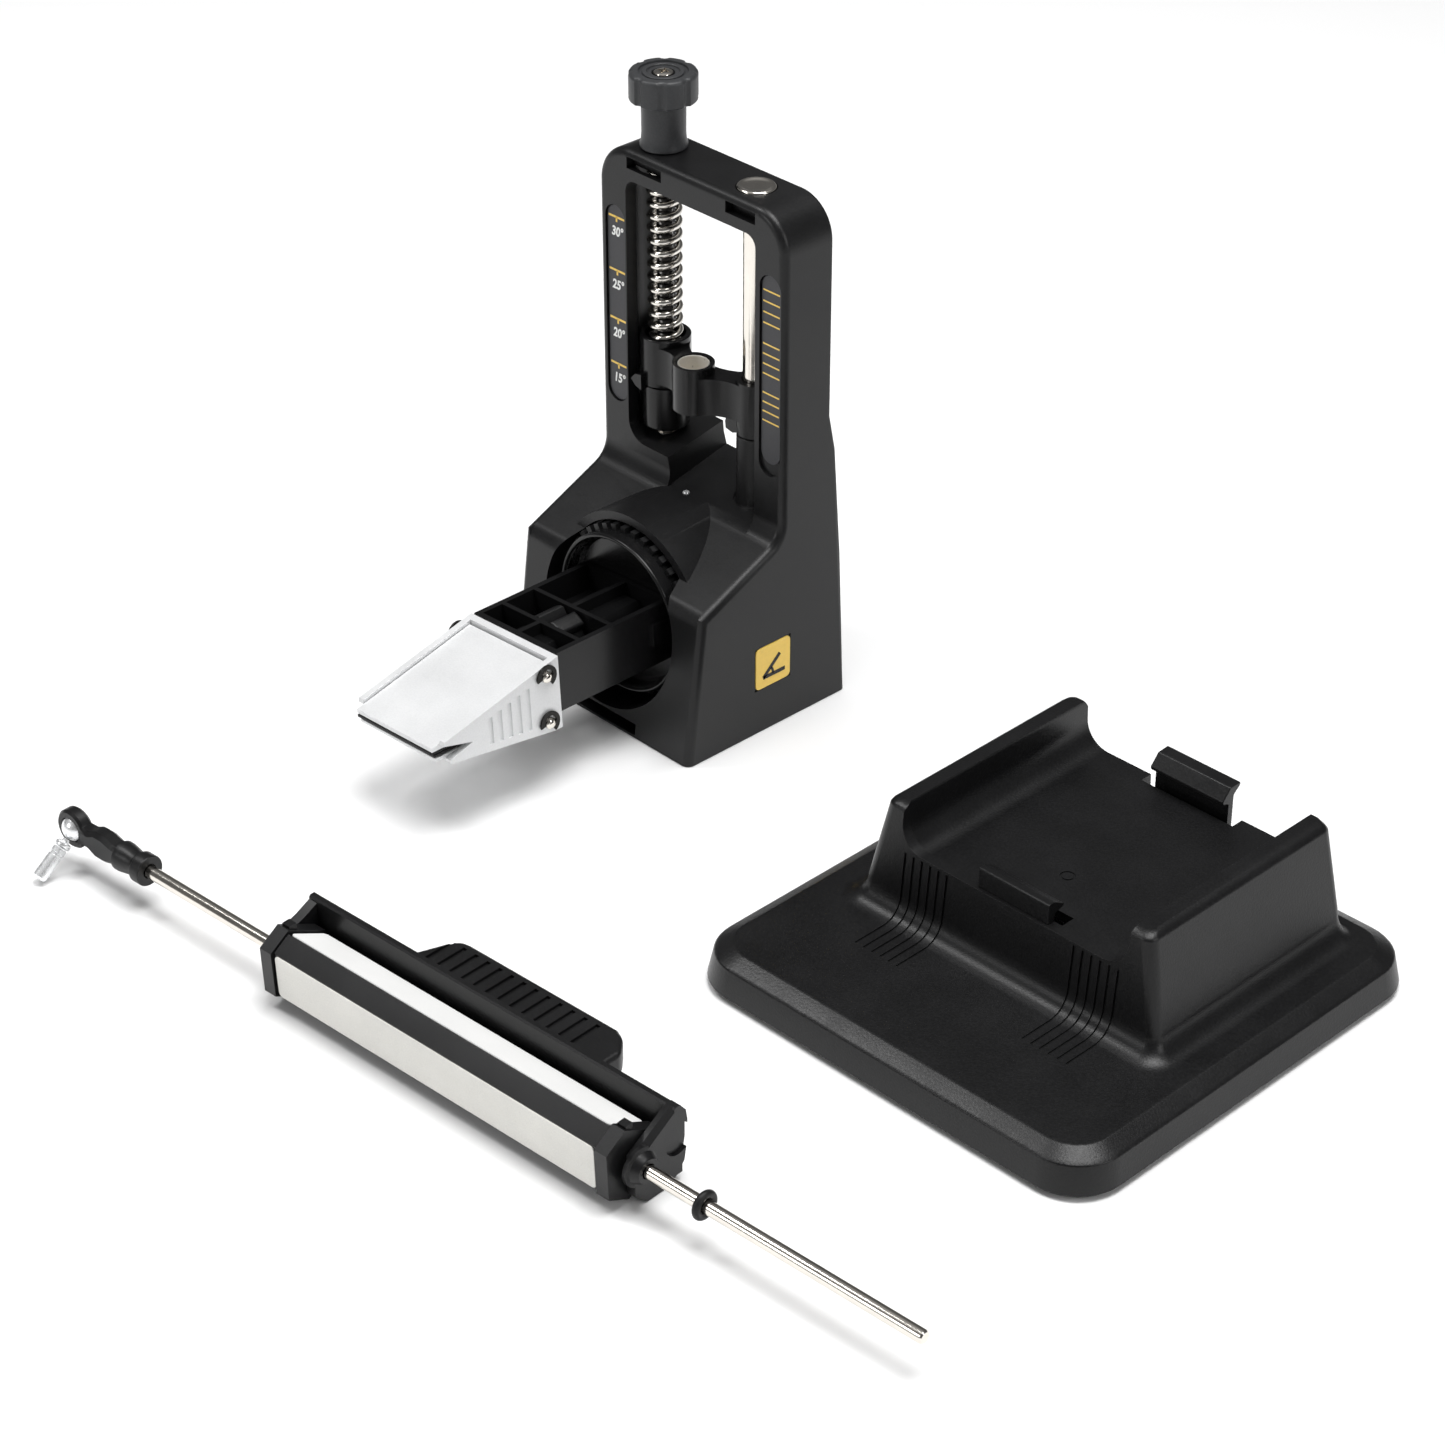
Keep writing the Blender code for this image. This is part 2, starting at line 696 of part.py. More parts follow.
def make_carriage(tower):
    """The riding carriage: spring cup and sleeve, curved web, rod socket, guide boss and two pointers."""
    low, high = CARRIAGE_LOW, CARRIAGE_LOW + CARRIAGE_HEIGHT
    cup_low = high - CUP_HEIGHT
    left = (SCREW_X, COLUMN_MID, 0)
    carriage = turned(
        "carriage",
        tower,
        [
            (0, high),
            (CUP_RADIUS, high),
            (CUP_RADIUS, cup_low),
            (SLEEVE_RADIUS, cup_low - 1),
            (SLEEVE_RADIUS, low),
            (0, low),
        ],
        "Z",
        left,
        28,
    )
    socket_low = high + 0.8 - SOCKET["height"]
    socket = (0, SOCKET["y"], 0)
    web_top = high - 2
    boss_low, boss_high = socket_low - 2, high - 1.2
    inner_y = SOCKET["y"] + 1.8
    left_web = [
        (SCREW_X + 5, COLUMN_MID - 1),
        (SCREW_X + 6, COLUMN_MID - 5),
        (-3, SOCKET["y"] - 2),
        (-3, inner_y),
    ]
    right_web = [
        (3, inner_y),
        (3, SOCKET["y"] - 2),
        (GUIDE_X - 5, COLUMN_MID - 4.5),
        (GUIDE_X - 1, COLUMN_MID - 2),
        (GUIDE_X - 2, COLUMN_MID + 1),
    ]
    point = POINTER_HEIGHT
    left_pointer = [(SCREW_X - 2, point - 2.6), (SCREW_X - 2, point + 2.6), (SCREW_X - 5.6, point)]
    right_pointer = [
        (GUIDE_X - 7.5, point - 4.5),
        (GUIDE_X - 2.5, point - 4.5),
        (GUIDE_X - 2.5, point + 1),
        (GUIDE_X - 7.5, point + 1),
    ]
    join(
        carriage,
        prism("left_web", tower, left_web, socket_low, web_top, "Z", True),
        prism("right_web", tower, right_web, socket_low, web_top, "Z", True),
        rod("socket_tube", tower, SOCKET["radius"], socket_low, high + 0.8, "Z", socket, 28, True),
        rod(
            "guide_tube",
            tower,
            GUIDE_RADIUS + 2.1,
            boss_low,
            boss_high,
            "Z",
            (GUIDE_X, COLUMN_MID, 0),
            24,
            True,
        ),
        prism("left_pointer", tower, left_pointer, COLUMN_FRONT + 0.6, COLUMN_MID - 4, "Y", True),
        prism("right_pointer", tower, right_pointer, COLUMN_MID - 5.0, COLUMN_MID - 3.2, "Y", True),
    )
    cut(
        carriage,
        rod("cup_bore", tower, CUP_RADIUS - 1.6, cup_low, high + 1, "Z", left, 24, True),
        rod("sleeve_bore", tower, SLEEVE_RADIUS - 1.4, low + 1, high + 1, "Z", left, 24, True),
        rod("lead_bore", tower, LEAD_RADIUS + GAP, low - 1, high + 1, "Z", left, 20, True),
        rod("socket_bore", tower, SOCKET["bore"] + 0.8, socket_low + 1.5, high + 3, "Z", socket, 24, True),
        rod(
            "guide_bore",
            tower,
            GUIDE_RADIUS + GAP,
            point - 5,
            high + 1,
            "Z",
            (GUIDE_X, COLUMN_MID, 0),
            20,
            True,
        ),
    )
    move_origin(carriage, (0, 0, 0))
    finish(carriage, "black_plastic")
    nut_low = low + 1 + GAP
    nut = rod("carriage_nut", tower, 4.9, nut_low, nut_low + NUT_HEIGHT - GAP, "Z", left, 6)
    cut(
        nut,
        rod("nut_bore", tower, LEAD_RADIUS + GAP, nut_low - 1, nut_low + NUT_HEIGHT + 1, "Z", left, 20, True),
    )
    finish(nut, "brass")
    outer = SOCKET["bore"] + 0.8 - GAP
    base, rim = socket_low + 1.5 + GAP, high + 0.5
    bushing = turned(
        "socket_bushing",
        tower,
        [(outer, rim), (outer, base), (SOCKET["bore"], base), (SOCKET["bore"], rim)],
        "Z",
        socket,
        24,
        True,
    )
    finish(bushing, "nickel")


def make_drum(clamp):
    """The turning drum with its spindle, the washer behind the web and the spindle screw."""
    outer = HOUSING_BORE - 0.5
    drum = turned(
        "clamp_drum",
        clamp,
        [
            (0, SPINDLE_BACK),
            (SPINDLE_RADIUS, SPINDLE_BACK),
            (SPINDLE_RADIUS, DRUM_BACK),
            (outer, DRUM_BACK),
            (outer, DRUM_FRONT),
            (outer - DRUM_WALL, DRUM_FRONT),
            (outer - DRUM_WALL, DRUM_FLOOR),
            (0, DRUM_FLOOR),
        ],
        "Y",
        (0, 0, 0),
        40,
    )
    cut(drum, rod("spindle_hole", clamp, 3.3, DRUM_FLOOR + 8, SPINDLE_BACK + 1, "Y", (0, 0, 0), 16, True))
    finish(drum, "gloss_plastic")
    low = SPINDLE_BACK + GAP
    washer = turned(
        "spindle_washer",
        clamp,
        [(12, low + 2), (12, low), (3.3, low), (3.3, low + 2)],
        "Y",
        (0, 0, 0),
        24,
        True,
    )
    finish(washer, "steel")
    seat = low + 2 + GAP
    screw = turned(
        "spindle_screw",
        clamp,
        [(0, seat + 3.5), (5, seat + 3.5), (5, seat), (3, seat), (3, DRUM_FLOOR + 9), (0, DRUM_FLOOR + 9)],
        "Y",
        (0, 0, 0),
        16,
    )
    finish(screw, "steel")


def make_arm(clamp):
    """The open ribbed arm between the drum and the jaws, with a spine that carries the clamp screw."""
    back = DRUM_FLOOR - GAP
    front = back - ARM_LENGTH
    w, h = ARM_HALF_WIDTH, ARM_HALF_HEIGHT
    arm = block("clamp_arm", clamp, (-w, front, -h), (w, back, h))
    bay_low, bay_high = wheel_bay()
    ribs = [front + 2, bay_low - 2, bay_low, bay_high, bay_high + 2, back - 2]
    inner = w - ARM_WALL
    for index, (low, high) in enumerate(((ribs[0], ribs[1]), (ribs[4], ribs[5]))):
        for side in (-1, 1):
            near, far = sorted((side * 5.2, side * inner))
            cell = block(f"arm_cell_{index}_{side}", clamp, (near, low, -h - 1), (far, high, h + 1), True)
            cut(arm, cell)
        trim = h - 5.2
        for side in (-1, 1):
            near, far = sorted((side * (h - trim), side * (h + 1)))
            cut(arm, block(f"spine_{index}_{side}", clamp, (-5.3, low, near), (5.3, high, far), True))
    cut(
        arm,
        block("wheel_bay", clamp, (-inner, bay_low, -h - 1), (inner, bay_high, h + 1), True),
        rod("arm_bore", clamp, CLAMP_SCREW_RADIUS + GAP, front - 1, back - 4, "Y", (0, 0, 0), 20, True),
    )
    finish(arm, "gloss_plastic")


def wheel_bay():
    """The thumbwheel's bay: its front and back along the clamp's axis."""
    middle = DRUM_FLOOR - GAP - THUMBWHEEL["setback"]
    half = THUMBWHEEL["width"] / 2 + 0.6
    return middle - half, middle + half


def make_clamp_screw(clamp):
    """The thumbwheel and the screw that it turns."""
    low, high = wheel_bay()
    middle = (low + high) / 2
    half = THUMBWHEEL["width"] / 2
    rim = [
        (r * math.cos(a), r * math.sin(a)) for r, a in lobe_points(
            THUMBWHEEL["radius"], 1.8, THUMBWHEEL["lobes"]
        )
    ]
    wheel = prism("thumbwheel", clamp, rim, middle - half, middle + half, "Y")
    cut(wheel, rod("wheel_bore", clamp, CLAMP_SCREW_RADIUS + GAP, low, high, "Y", (0, 0, 0), 20, True))
    finish(wheel, "black_plastic")
    tip = JAW_REAR - CHEEK_THICK - 3.4
    back = DRUM_FLOOR - GAP - 5
    finish(rod("clamp_screw", clamp, CLAMP_SCREW_RADIUS, tip, back, "Y", (0, 0, 0), 16), "steel")


def jaw_line(y, start, end):
    """The height on a cheek's sloping edge at y, from its rear height to its front height."""
    share = (JAW_REAR - y) / CHEEK_LENGTH
    return start + (end - start) * share


def make_jaw_housing(clamp):
    """The cast fork: two wedge cheeks joined by a rear wall."""
    nose = JAW_REAR - CHEEK_LENGTH
    top_nose, bottom_nose = MOUTH_HEIGHT + NOSE_RISE, MOUTH_HEIGHT - NOSE_DROP
    outline = [
        (JAW_REAR, CHEEK_BOTTOM),
        (JAW_REAR, CHEEK_TOP),
        (nose, top_nose),
        (nose - 0.4, top_nose - 1.3),
        (nose + 10.5, MOUTH_HEIGHT),
        (nose + 1.8, MOUTH_HEIGHT - 2.2),
        (nose + 1.5, bottom_nose),
        (JAW_REAR - 3, CHEEK_BOTTOM),
    ]
    outer = JAW_HALF_WIDTH + GAP + CHEEK_THICK
    fork = prism("jaw_housing", clamp, outline, -outer, outer, "X")
    slot = block(
        "fork_slot",
        clamp,
        (-JAW_HALF_WIDTH - GAP, nose - 3, CHEEK_BOTTOM - 1),
        (JAW_HALF_WIDTH + GAP, JAW_REAR - CHEEK_THICK, CHEEK_TOP + 1),
        True,
    )
    cut(
        fork,
        slot,
        rod(
            "fork_bore", clamp, CLAMP_SCREW_RADIUS + GAP, JAW_REAR - 4, JAW_REAR + 1, "Y", (0, 0, 0), 16, True
        ),
    )
    for name in ("upper", "lower"):
        centre = (0, JAW_REAR - JAW_PIN["setback"], JAW_PIN[name])
        cut(
            fork,
            rod(
                f"{name}_pin_hole",
                clamp,
                JAW_PIN["radius"] + GAP,
                -outer - 1,
                outer + 1,
                "X",
                centre,
                16,
                True,
            ),
        )
    finish(fork, "cast_aluminium")


def make_jaws(clamp):
    """Two jaws on their pins, their pads, clips and the wedge that spreads their tails."""
    rear = JAW_REAR - CHEEK_THICK - 0.7
    tip = JAW_REAR - JAW_REACH
    slope_top = MOUTH_HEIGHT + NOSE_RISE
    slope_bottom = MOUTH_HEIGHT - NOSE_DROP
    top = [(y, jaw_line(y, CHEEK_TOP, slope_top) - 1.1) for y in (rear, tip)]
    bottom = [(y, jaw_line(y, CHEEK_BOTTOM, slope_bottom) + 1.3) for y in (rear, tip + 1)]
    half_gap = PAD_THICK + 1.5 * GAP
    upper = top + [
        (tip, MOUTH_HEIGHT + half_gap),
        (tip + 17, MOUTH_HEIGHT + half_gap),
        (tip + 25, 0.2),
        (rear - 7, JAW_TAIL),
        (rear, JAW_TAIL),
    ]
    lower = bottom + [
        (tip + 1, MOUTH_HEIGHT - half_gap),
        (tip + 17, MOUTH_HEIGHT - half_gap),
        (tip + 25, -7.3),
        (rear, LOWER_TAIL),
    ]
    pin_y = JAW_REAR - JAW_PIN["setback"]
    for name, outline, kind in (("upper", upper, "upper"), ("lower", lower, "lower")):
        jaw = prism(f"{name}_jaw", clamp, outline, -JAW_HALF_WIDTH, JAW_HALF_WIDTH, "X")
        centre = (0, pin_y, JAW_PIN[kind])
        cut(jaw, rod(f"{name}_jaw_hole", clamp, JAW_PIN["radius"] + GAP, -20, 20, "X", centre, 16, True))
        move_origin(jaw, centre)
        finish(jaw, "cast_aluminium")
    pad_face = 0.5 * GAP
    for name, side in (("upper", 1), ("lower", -1)):
        low, high = sorted((MOUTH_HEIGHT + side * pad_face, MOUTH_HEIGHT + side * (pad_face + PAD_THICK)))
        reach = tip + 0.2 if name == "upper" else tip + 1.2
        pad = block(
            f"{name}_pad", clamp, (0.6 - JAW_HALF_WIDTH, reach, low), (JAW_HALF_WIDTH - 0.6, tip + 12, high)
        )
        move_origin(pad, (0, pin_y, JAW_PIN[name]))
        finish(pad, "rubber")
    outer = JAW_HALF_WIDTH + GAP + CHEEK_THICK
    for name in ("upper", "lower"):
        centre = (0, pin_y, JAW_PIN[name])
        pin = rod(f"{name}_pin", clamp, JAW_PIN["radius"], -outer - 2, outer + 2, "X", centre, 16)
        bevel(pin, 0.4, 1, 60)
        finish(pin, "nickel")
        for side, label in ((-1, "left"), (1, "right")):
            near, far = sorted((side * (outer + GAP), side * (outer + GAP + 0.8)))
            ring = [(pin_y + u, JAW_PIN[name] + v) for u, v in clip_outline(JAW_PIN["radius"] + GAP, 3.8)]
            finish(prism(f"{name}_{label}_clip", clamp, ring, near, far, "X"), "steel")
    wedge_rear = rear - 1.6
    wedge = prism(
        "jaw_wedge",
        clamp,
        [
            (wedge_rear, LOWER_TAIL + 0.5),
            (wedge_rear, JAW_TAIL - 0.5),
            (wedge_rear - 4, JAW_TAIL - 1.2),
            (wedge_rear - 6.5, -1.2),
            (wedge_rear - 6.5, -4.5),
            (wedge_rear - 4, LOWER_TAIL + 1.2),
        ],
        -9,
        9,
        "X",
    )
    wedge_bore = CLAMP_SCREW_RADIUS + GAP
    cut(
        wedge,
        block(
            "wedge_slot",
            clamp,
            (-wedge_bore, wedge_rear - 8, -wedge_bore),
            (wedge_bore, wedge_rear + 1, JAW_TAIL),
            True,
        ),
    )
    finish(wedge, "steel")


def clip_outline(inner, outer):
    """A retaining clip: three quarters of a ring, open at the back and below."""
    return arc((0, 0), outer, -20, 250, 12) + arc((0, 0), inner, 250, -20, 12)


def ring_of_points(bm, half, front, back, radius, z, count=4):
    """One level of the stand's loft: a rectangle with round corners."""
    corners = ((half, back, 0), (-half, back, 90), (-half, front, 180), (half, front, 270))
    level = []
    for x, y, start in corners:
        centre = (x - math.copysign(radius, x), y - (radius if start < 180 else -radius))
        level += [
            bm.verts.new((u * MM, v * MM, z * MM)) for u, v in arc(centre, radius, start, start + 90, count)
        ]
    return level


def loft(name, frame, levels, helper=False):
    """A closed skin over round-cornered rectangles, lowest first: (half, front, back, radius, z)."""
    bm = bmesh.new()
    rings = [ring_of_points(bm, *level) for level in levels]
    size = len(rings[0])
    for lower, upper in zip(rings, rings[1:]):
        for i in range(size):
            j = (i + 1) % size
            bm.faces.new((lower[i], lower[j], upper[j], upper[i]))
    bm.faces.new(reversed(rings[0]))
    bm.faces.new(rings[-1])
    face_out(bm)
    return from_bmesh(name, bm, frame, helper)


def pedestal_levels():
    """The fillet from the plateau into the pedestal's leaning walls."""
    lean, radius = 5.6, 7.0
    half = PEDESTAL_HALF + lean
    front = PEDESTAL_FRONT - 2.4
    back = PEDESTAL_BACK + 1.2
    levels = []
    for degrees in (0, 30, 60, 90):
        out = radius * (1 - math.sin(math.radians(degrees)))
        up = radius * (1 - math.cos(math.radians(degrees)))
        levels.append((half + out, front - out, back + out / 2, 3.5 + out * 0.7, PLATEAU + up))
    return levels


def make_stand(stand):
    """The stand: a skirted base, a pedestal and the cradle that takes the tower's foot."""
    h = STAND_HALF
    clear = FOOT["height"] - 1.0
    levels = [
        (h, -h, h, STAND_CORNER, clear),
        (h - 1.4, 1.4 - h, h - 1.4, STAND_CORNER - 0.5, SKIRT_TOP),
        (PLATEAU_HALF, -PLATEAU_HALF, PLATEAU_HALF, STAND_CORNER - 5, PLATEAU),
    ]
    levels += pedestal_levels()
    levels.append((PEDESTAL_HALF, PEDESTAL_FRONT, PEDESTAL_BACK, 3, PEDESTAL_TOP))
    body = loft("stand_body", stand, levels)
    inner = h - WALL - 1
    neck = PEDESTAL_HALF - 1.5
    cavity = [
        (inner, -inner, inner, STAND_CORNER - 4, -1),
        (inner, -inner, inner, STAND_CORNER - 4, SKIRT_TOP - WALL),
        (neck, PEDESTAL_FRONT + WALL - 1, PEDESTAL_BACK - WALL, 4, PLATEAU - 1),
        (neck - 3, PEDESTAL_FRONT + WALL, PEDESTAL_BACK - WALL - 0.5, 4, CRADLE_FLOOR - WALL),
    ]
    lip = CRADLE_FLOOR + 1.3
    r = 7.0
    cradle = [(CRADLE_HALF, PEDESTAL_TOP + 1), (-CRADLE_HALF, PEDESTAL_TOP + 1)]
    cradle += arc(
        (r - CRADLE_HALF, lip + r), r, 180, 270, 4
    ) + arc((CRADLE_HALF - r, lip + r), r, 270, 360, 4)
    lip_thick = 2.5
    cut(
        body,
        loft("stand_cavity", stand, cavity, True),
        prism("cradle", stand, cradle, PEDESTAL_FRONT - 5, PEDESTAL_BACK + 5, "Y", True),
        block(
            "cradle_floor",
            stand,
            (r - CRADLE_HALF, PEDESTAL_FRONT + lip_thick, CRADLE_FLOOR),
            (CRADLE_HALF - r, PEDESTAL_BACK + 5, lip + 1),
            True,
        ),
        block(
            "hook_hole",
            stand,
            (-HOOK_HALF - 1.7, PEDESTAL_FRONT + 3.2, CRADLE_FLOOR - 9),
            (HOOK_HALF + 1.7, PEDESTAL_FRONT + 9.2, CRADLE_FLOOR + 1),
            True,
        ),
        block("latch_slot", stand, latch_slot()[0], latch_slot()[1], True),
    )
    wall = PEDESTAL_FRONT + 0.2
    hook = [
        (wall, CRADLE_FLOOR - 2),
        (wall, CRADLE_FLOOR + 7.7),
        (wall + 2.2, CRADLE_FLOOR + 7.7),
        (wall + 6.4, CRADLE_FLOOR + 5.6),
        (wall + 6.0, CRADLE_FLOOR + 4.6),
        (wall + lip_thick, CRADLE_FLOOR + 4.0),
        (wall + lip_thick, CRADLE_FLOOR - 2),
    ]
    join(body, prism("front_hook", stand, hook, -HOOK_HALF, HOOK_HALF, "X", True))
    for index, (x, y) in enumerate(((-1, -1), (1, -1), (-1, 1), (1, 1)), 1):
        centre = (x * FOOT["place"], y * FOOT["place"], 0)
        seat = rod(
            f"foot_seat_{index}",
            stand,
            FOOT["radius"] + 1,
            FOOT["height"] + GAP,
            PLATEAU - 1,
            "Z",
            centre,
            16,
            True,
        )
        join(body, seat)
        foot = rod(f"foot_{index}", stand, FOOT["radius"], 0, FOOT["height"], "Z", centre, 20)
        bevel(foot, 0.4, 1, 60)
        finish(foot, "rubber")
    finish(body, "black_plastic")


def latch_slot():
    half = LATCH["half"] + LATCH["slot"]
    low = (-half, PEDESTAL_BACK - LATCH["thick"] - 1.2, LATCH["foot"] - GAP)
    return low, (half, PEDESTAL_BACK + 6, PEDESTAL_TOP + 1)


def make_latch(stand):
    """The rear latch tab: an upright tongue with a bevelled head that leans over the cradle."""
    back = PEDESTAL_BACK + 0.6
    front = back - LATCH["thick"]
    foot, top = LATCH["foot"], LATCH["foot"] + LATCH["height"]
    outline = [
        (front, foot),
        (front, top - 5.6),
        (front - 2.6, top - 4.8),
        (front - 2.2, top - 3.0),
        (front + 1.0, top),
        (back + 2.4, top),
        (back + 2.8, top - 1.0),
        (back, top - 3.6),
        (back, foot),
    ]
    latch = prism("rear_latch", stand, outline, -LATCH["half"], LATCH["half"], "X")
    move_origin(latch, (0, (front + back) / 2, foot))
    finish(latch, "black_plastic")


def make_rod(guide, eye):
    """The steel rod, its moulded rod end and the ball, collar and pin of the swivel."""
    steel = turned(
        "slide_rod",
        guide,
        [
            (0, ROD_LENGTH),
            (ROD_RADIUS - 0.5, ROD_LENGTH),
            (ROD_RADIUS, ROD_LENGTH - 0.6),
            (ROD_RADIUS, -7),
            (0, -7),
        ],
        "X",
        (0, 0, 0),
        20,
    )
    finish(steel, "nickel")
    half = EYE_THICK / 2
    end = rod("rod_end", guide, 4.2, -11, -3, "X", (0, 0, 0), 20)
    eye_start = -EYE_SETBACK + BALL_RADIUS + 1
    neck = block("rod_end_body", guide, (eye_start, -3.0, -4.0), (-10, 3.0, 4.0), True)
    bevel(neck, 1.0)
    join(
        end,
        rod("rod_end_collar", guide, 4.8, -4.0, 0, "X", (0, 0, 0), 20, True),
        neck,
        rod("eye_ring", guide, EYE_RADIUS, -half, half, "Y", (-EYE_SETBACK, 0, 0), 28, True),
    )
    bm = bmesh.new()
    bmesh.ops.create_uvsphere(bm, u_segments=24, v_segments=14, radius=(BALL_RADIUS + GAP) * MM)
    cut(
        end,
        from_bmesh("ball_race", bm, eye, True),
        rod("rod_end_bore", guide, ROD_RADIUS + GAP, -7.5, 1, "X", (0, 0, 0), 20, True),
    )
    finish(end, "black_plastic")
    bm = bmesh.new()
    bmesh.ops.create_uvsphere(bm, u_segments=20, v_segments=12, radius=BALL_RADIUS * MM)
    finish(from_bmesh("joint_ball", bm, eye, False), "nickel")
    top = -BALL_RADIUS - GAP
    collar = turned(
        "joint_collar",
        eye,
        [
            (0, top),
            (1.1, top),
            (1.1, top - 0.9),
            (2.4, top - 1.1),
            (2.6, top - 2.2),
            (2.4, top - 2.9),
            (0, top - 2.9),
        ],
        "Z",
        (0, 0, 0),
        16,
    )
    finish(collar, "nickel")
    shank = top - 2.9 - GAP
    pin = turned(
        "joint_pin",
        eye,
        [
            (0, shank),
            (PIN_RADIUS, shank),
            (PIN_RADIUS, shank - PIN_LENGTH + 0.6),
            (PIN_RADIUS - 0.6, shank - PIN_LENGTH),
            (0, shank - PIN_LENGTH),
        ],
        "Z",
        (0, 0, 0),
        20,
    )
    finish(pin, "nickel")


def truncated_triangle(facet, strip):
    """Three broad facets at one distance from the axis and three narrow ones at another."""
    points = []
    reach = math.sqrt(facet**2 + strip**2 - facet * strip) / math.sin(math.radians(60))
    lead = math.degrees(math.acos(facet / reach))
    for normal in (180, 60, 300):
        for side in (-1, 1):
            angle = math.radians(normal + side * lead)
            points.append((angle % (2 * math.pi), reach))
    return [(r * math.cos(a), r * math.sin(a)) for a, r in sorted(points)]


def make_abrasive(core):
    """The three-sided core, its end caps and its three plates, all turning about the rod."""
    start, end = CORE_START, CORE_START + CORE_LENGTH
    body_face = PLATE_FACE - PLATE_PROUD
    outline = truncated_triangle(body_face, STRIP_FACE)
    body = prism("abrasive_core", core, outline, start, end, "X")
    cut(body, rod("core_bore", core, ROD_RADIUS + GAP, start - 1, end + 1, "X", (0, 0, 0), 20, True))
    for name, low, high in (
        ("left_cap", start - GAP - CAP_THICK, start - GAP), ("right_cap", end + GAP, end + GAP + CAP_THICK)
    ):
        cap = prism(name, core, truncated_triangle(CAP_FACE, CAP_STRIP), low, high, "X")
        cut(cap, rod(f"{name}_bore", core, ROD_RADIUS + GAP, low - 1, high + 1, "X", (0, 0, 0), 20, True))
        finish(cap, "black_plastic")
    kinds = (
        ("coarse_plate", 180, "diamond_plate"),
        ("fine_plate", 300, "diamond_plate"),
        ("ceramic_plate", 60, "ceramic"),
    )
    half = PLATE_WIDTH / 2
    for name, normal, kind in kinds:
        turn = Matrix.Rotation(math.radians(normal), 4, "X")
        seat = PLATE_FACE - PLATE_THICK
        plate = block(name, core, (start + 1, seat, -half), (end - 1, PLATE_FACE, half))
        low, high = (start + 1 - GAP, seat - GAP, -half - GAP), (end - 1 + GAP, PLATE_FACE + 1, half + GAP)
        recess = block(f"{name}_recess", core, low, high, True)
        plate.data.transform(turn)
        recess.data.transform(turn)
        cut(body, recess)
        finish(plate, kind)
    finish(body, "gloss_plastic")


def make_handle(guide):
    """The handle: two end walls on the rod, a back bar and a ribbed grip wing."""
    start = CORE_START - GAP - CAP_THICK - GAP
    end = CORE_START + CORE_LENGTH + GAP + CAP_THICK + GAP
    back = BAR_FACE + BAR_THICK
    far = end + HANDLE_WALL
    bar = [
        (BAR_FACE, BAR_BOTTOM),
        (back, BAR_BOTTOM),
        (back, BAR_TOP - 1.6),
        (back - 1.6, BAR_TOP),
        (BAR_FACE, BAR_TOP),
    ]
    handle = prism("handle_frame", guide, bar, start - HANDLE_WALL, far, "X")
    gusset = [
        (-4.5, -5),
        (-4.5, 4.5),
        (7.2, 8.3),
        (back - 1, BAR_TOP - 0.4),
        (back - 1, BAR_BOTTOM + 0.4),
        (2, BAR_BOTTOM + 0.4),
    ]
    front, edge, bottom = SHIELD["front"], SHIELD["back"], SHIELD["bottom"]
    shield = [
        (front, 3.5),
        (edge - 5.2, BAR_TOP),
        (edge - 2.7, BAR_TOP),
        (edge, 8),
        (edge, 0),
        (edge - 1.2, -7),
    ]
    shield += [(edge - 5.2, bottom + 1), (edge - 9, bottom), (front + 4.5, bottom), (front, bottom + 4)]
    left, right = WING["start"], WING["end"]
    slant, reach = WING["slant"], WING["reach"]
    wing = [
        (left, back - 1),
        (left + slant, reach - 3),
        (left + slant + 3, reach),
        (right - slant, reach),
        (right, reach - 7),
        (right, back - 1),
    ]
    join(
        handle,
        prism("left_wall", guide, gusset, start - HANDLE_WALL, start, "X", True),
        prism("right_wall", guide, shield, end, far, "X", True),
        rod("cone_boss", guide, 4.4, far - 1, far + 2.4, "X", (0, 0, 0), 20, True),
        prism("grip_wing", guide, wing, WING["low"], WING["high"], "Z", True),
    )
    cut(
        handle,
        rod(
            "handle_bore",
            guide,
            ROD_RADIUS + GAP,
            start - HANDLE_WALL - 1,
            far + 20,
            "X",
            (0, 0, 0),
            20,
            True,
        ),
    )
    finish(handle, "black_plastic")


def make_stop_ring(guide):
    """The rubber ring that stops the handle near the free end."""
    section, radius = RING["section"], RING["radius"]
    profile = [(radius + u, RING["place"] + v) for u, v in arc((0, 0), section, 90, -225, 7)]
    finish(turned("stop_ring", guide, profile, "X", (0, 0, 0), 24, True), "rubber")


def main():
    tower = new_frame("tower_frame", (0, 0, 0))
    clamp = new_frame("clamp_frame", (0, 0, CLAMP_HEIGHT), "Y", CLAMP_ROLL, tower)
    stand = new_frame("stand_frame", (*STAND_PLACE, 0), "Z", STAND_TURN)
    guide = new_frame("guide_frame", ROD_PLACE, "Z", ROD_TURN)
    eye = new_frame("eye_frame", (-EYE_SETBACK, 0, 0), "X", PIN_TILT, guide)
    core = new_frame("core_frame", (0, 0, 0), "X", CORE_ROLL, guide)
    make_housing(tower)
    make_trim(tower)
    make_angle_screw(tower)
    make_spring(tower)
    make_guide(tower)
    make_carriage(tower)
    make_drum(clamp)
    make_arm(clamp)
    make_clamp_screw(clamp)
    make_jaw_housing(clamp)
    make_jaws(clamp)
    make_stand(stand)
    make_latch(stand)
    make_rod(guide, eye)
    make_abrasive(core)
    make_handle(guide)
    make_stop_ring(guide)


main()
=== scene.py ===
import math

import bmesh
import bpy
from mathutils import Matrix, Vector


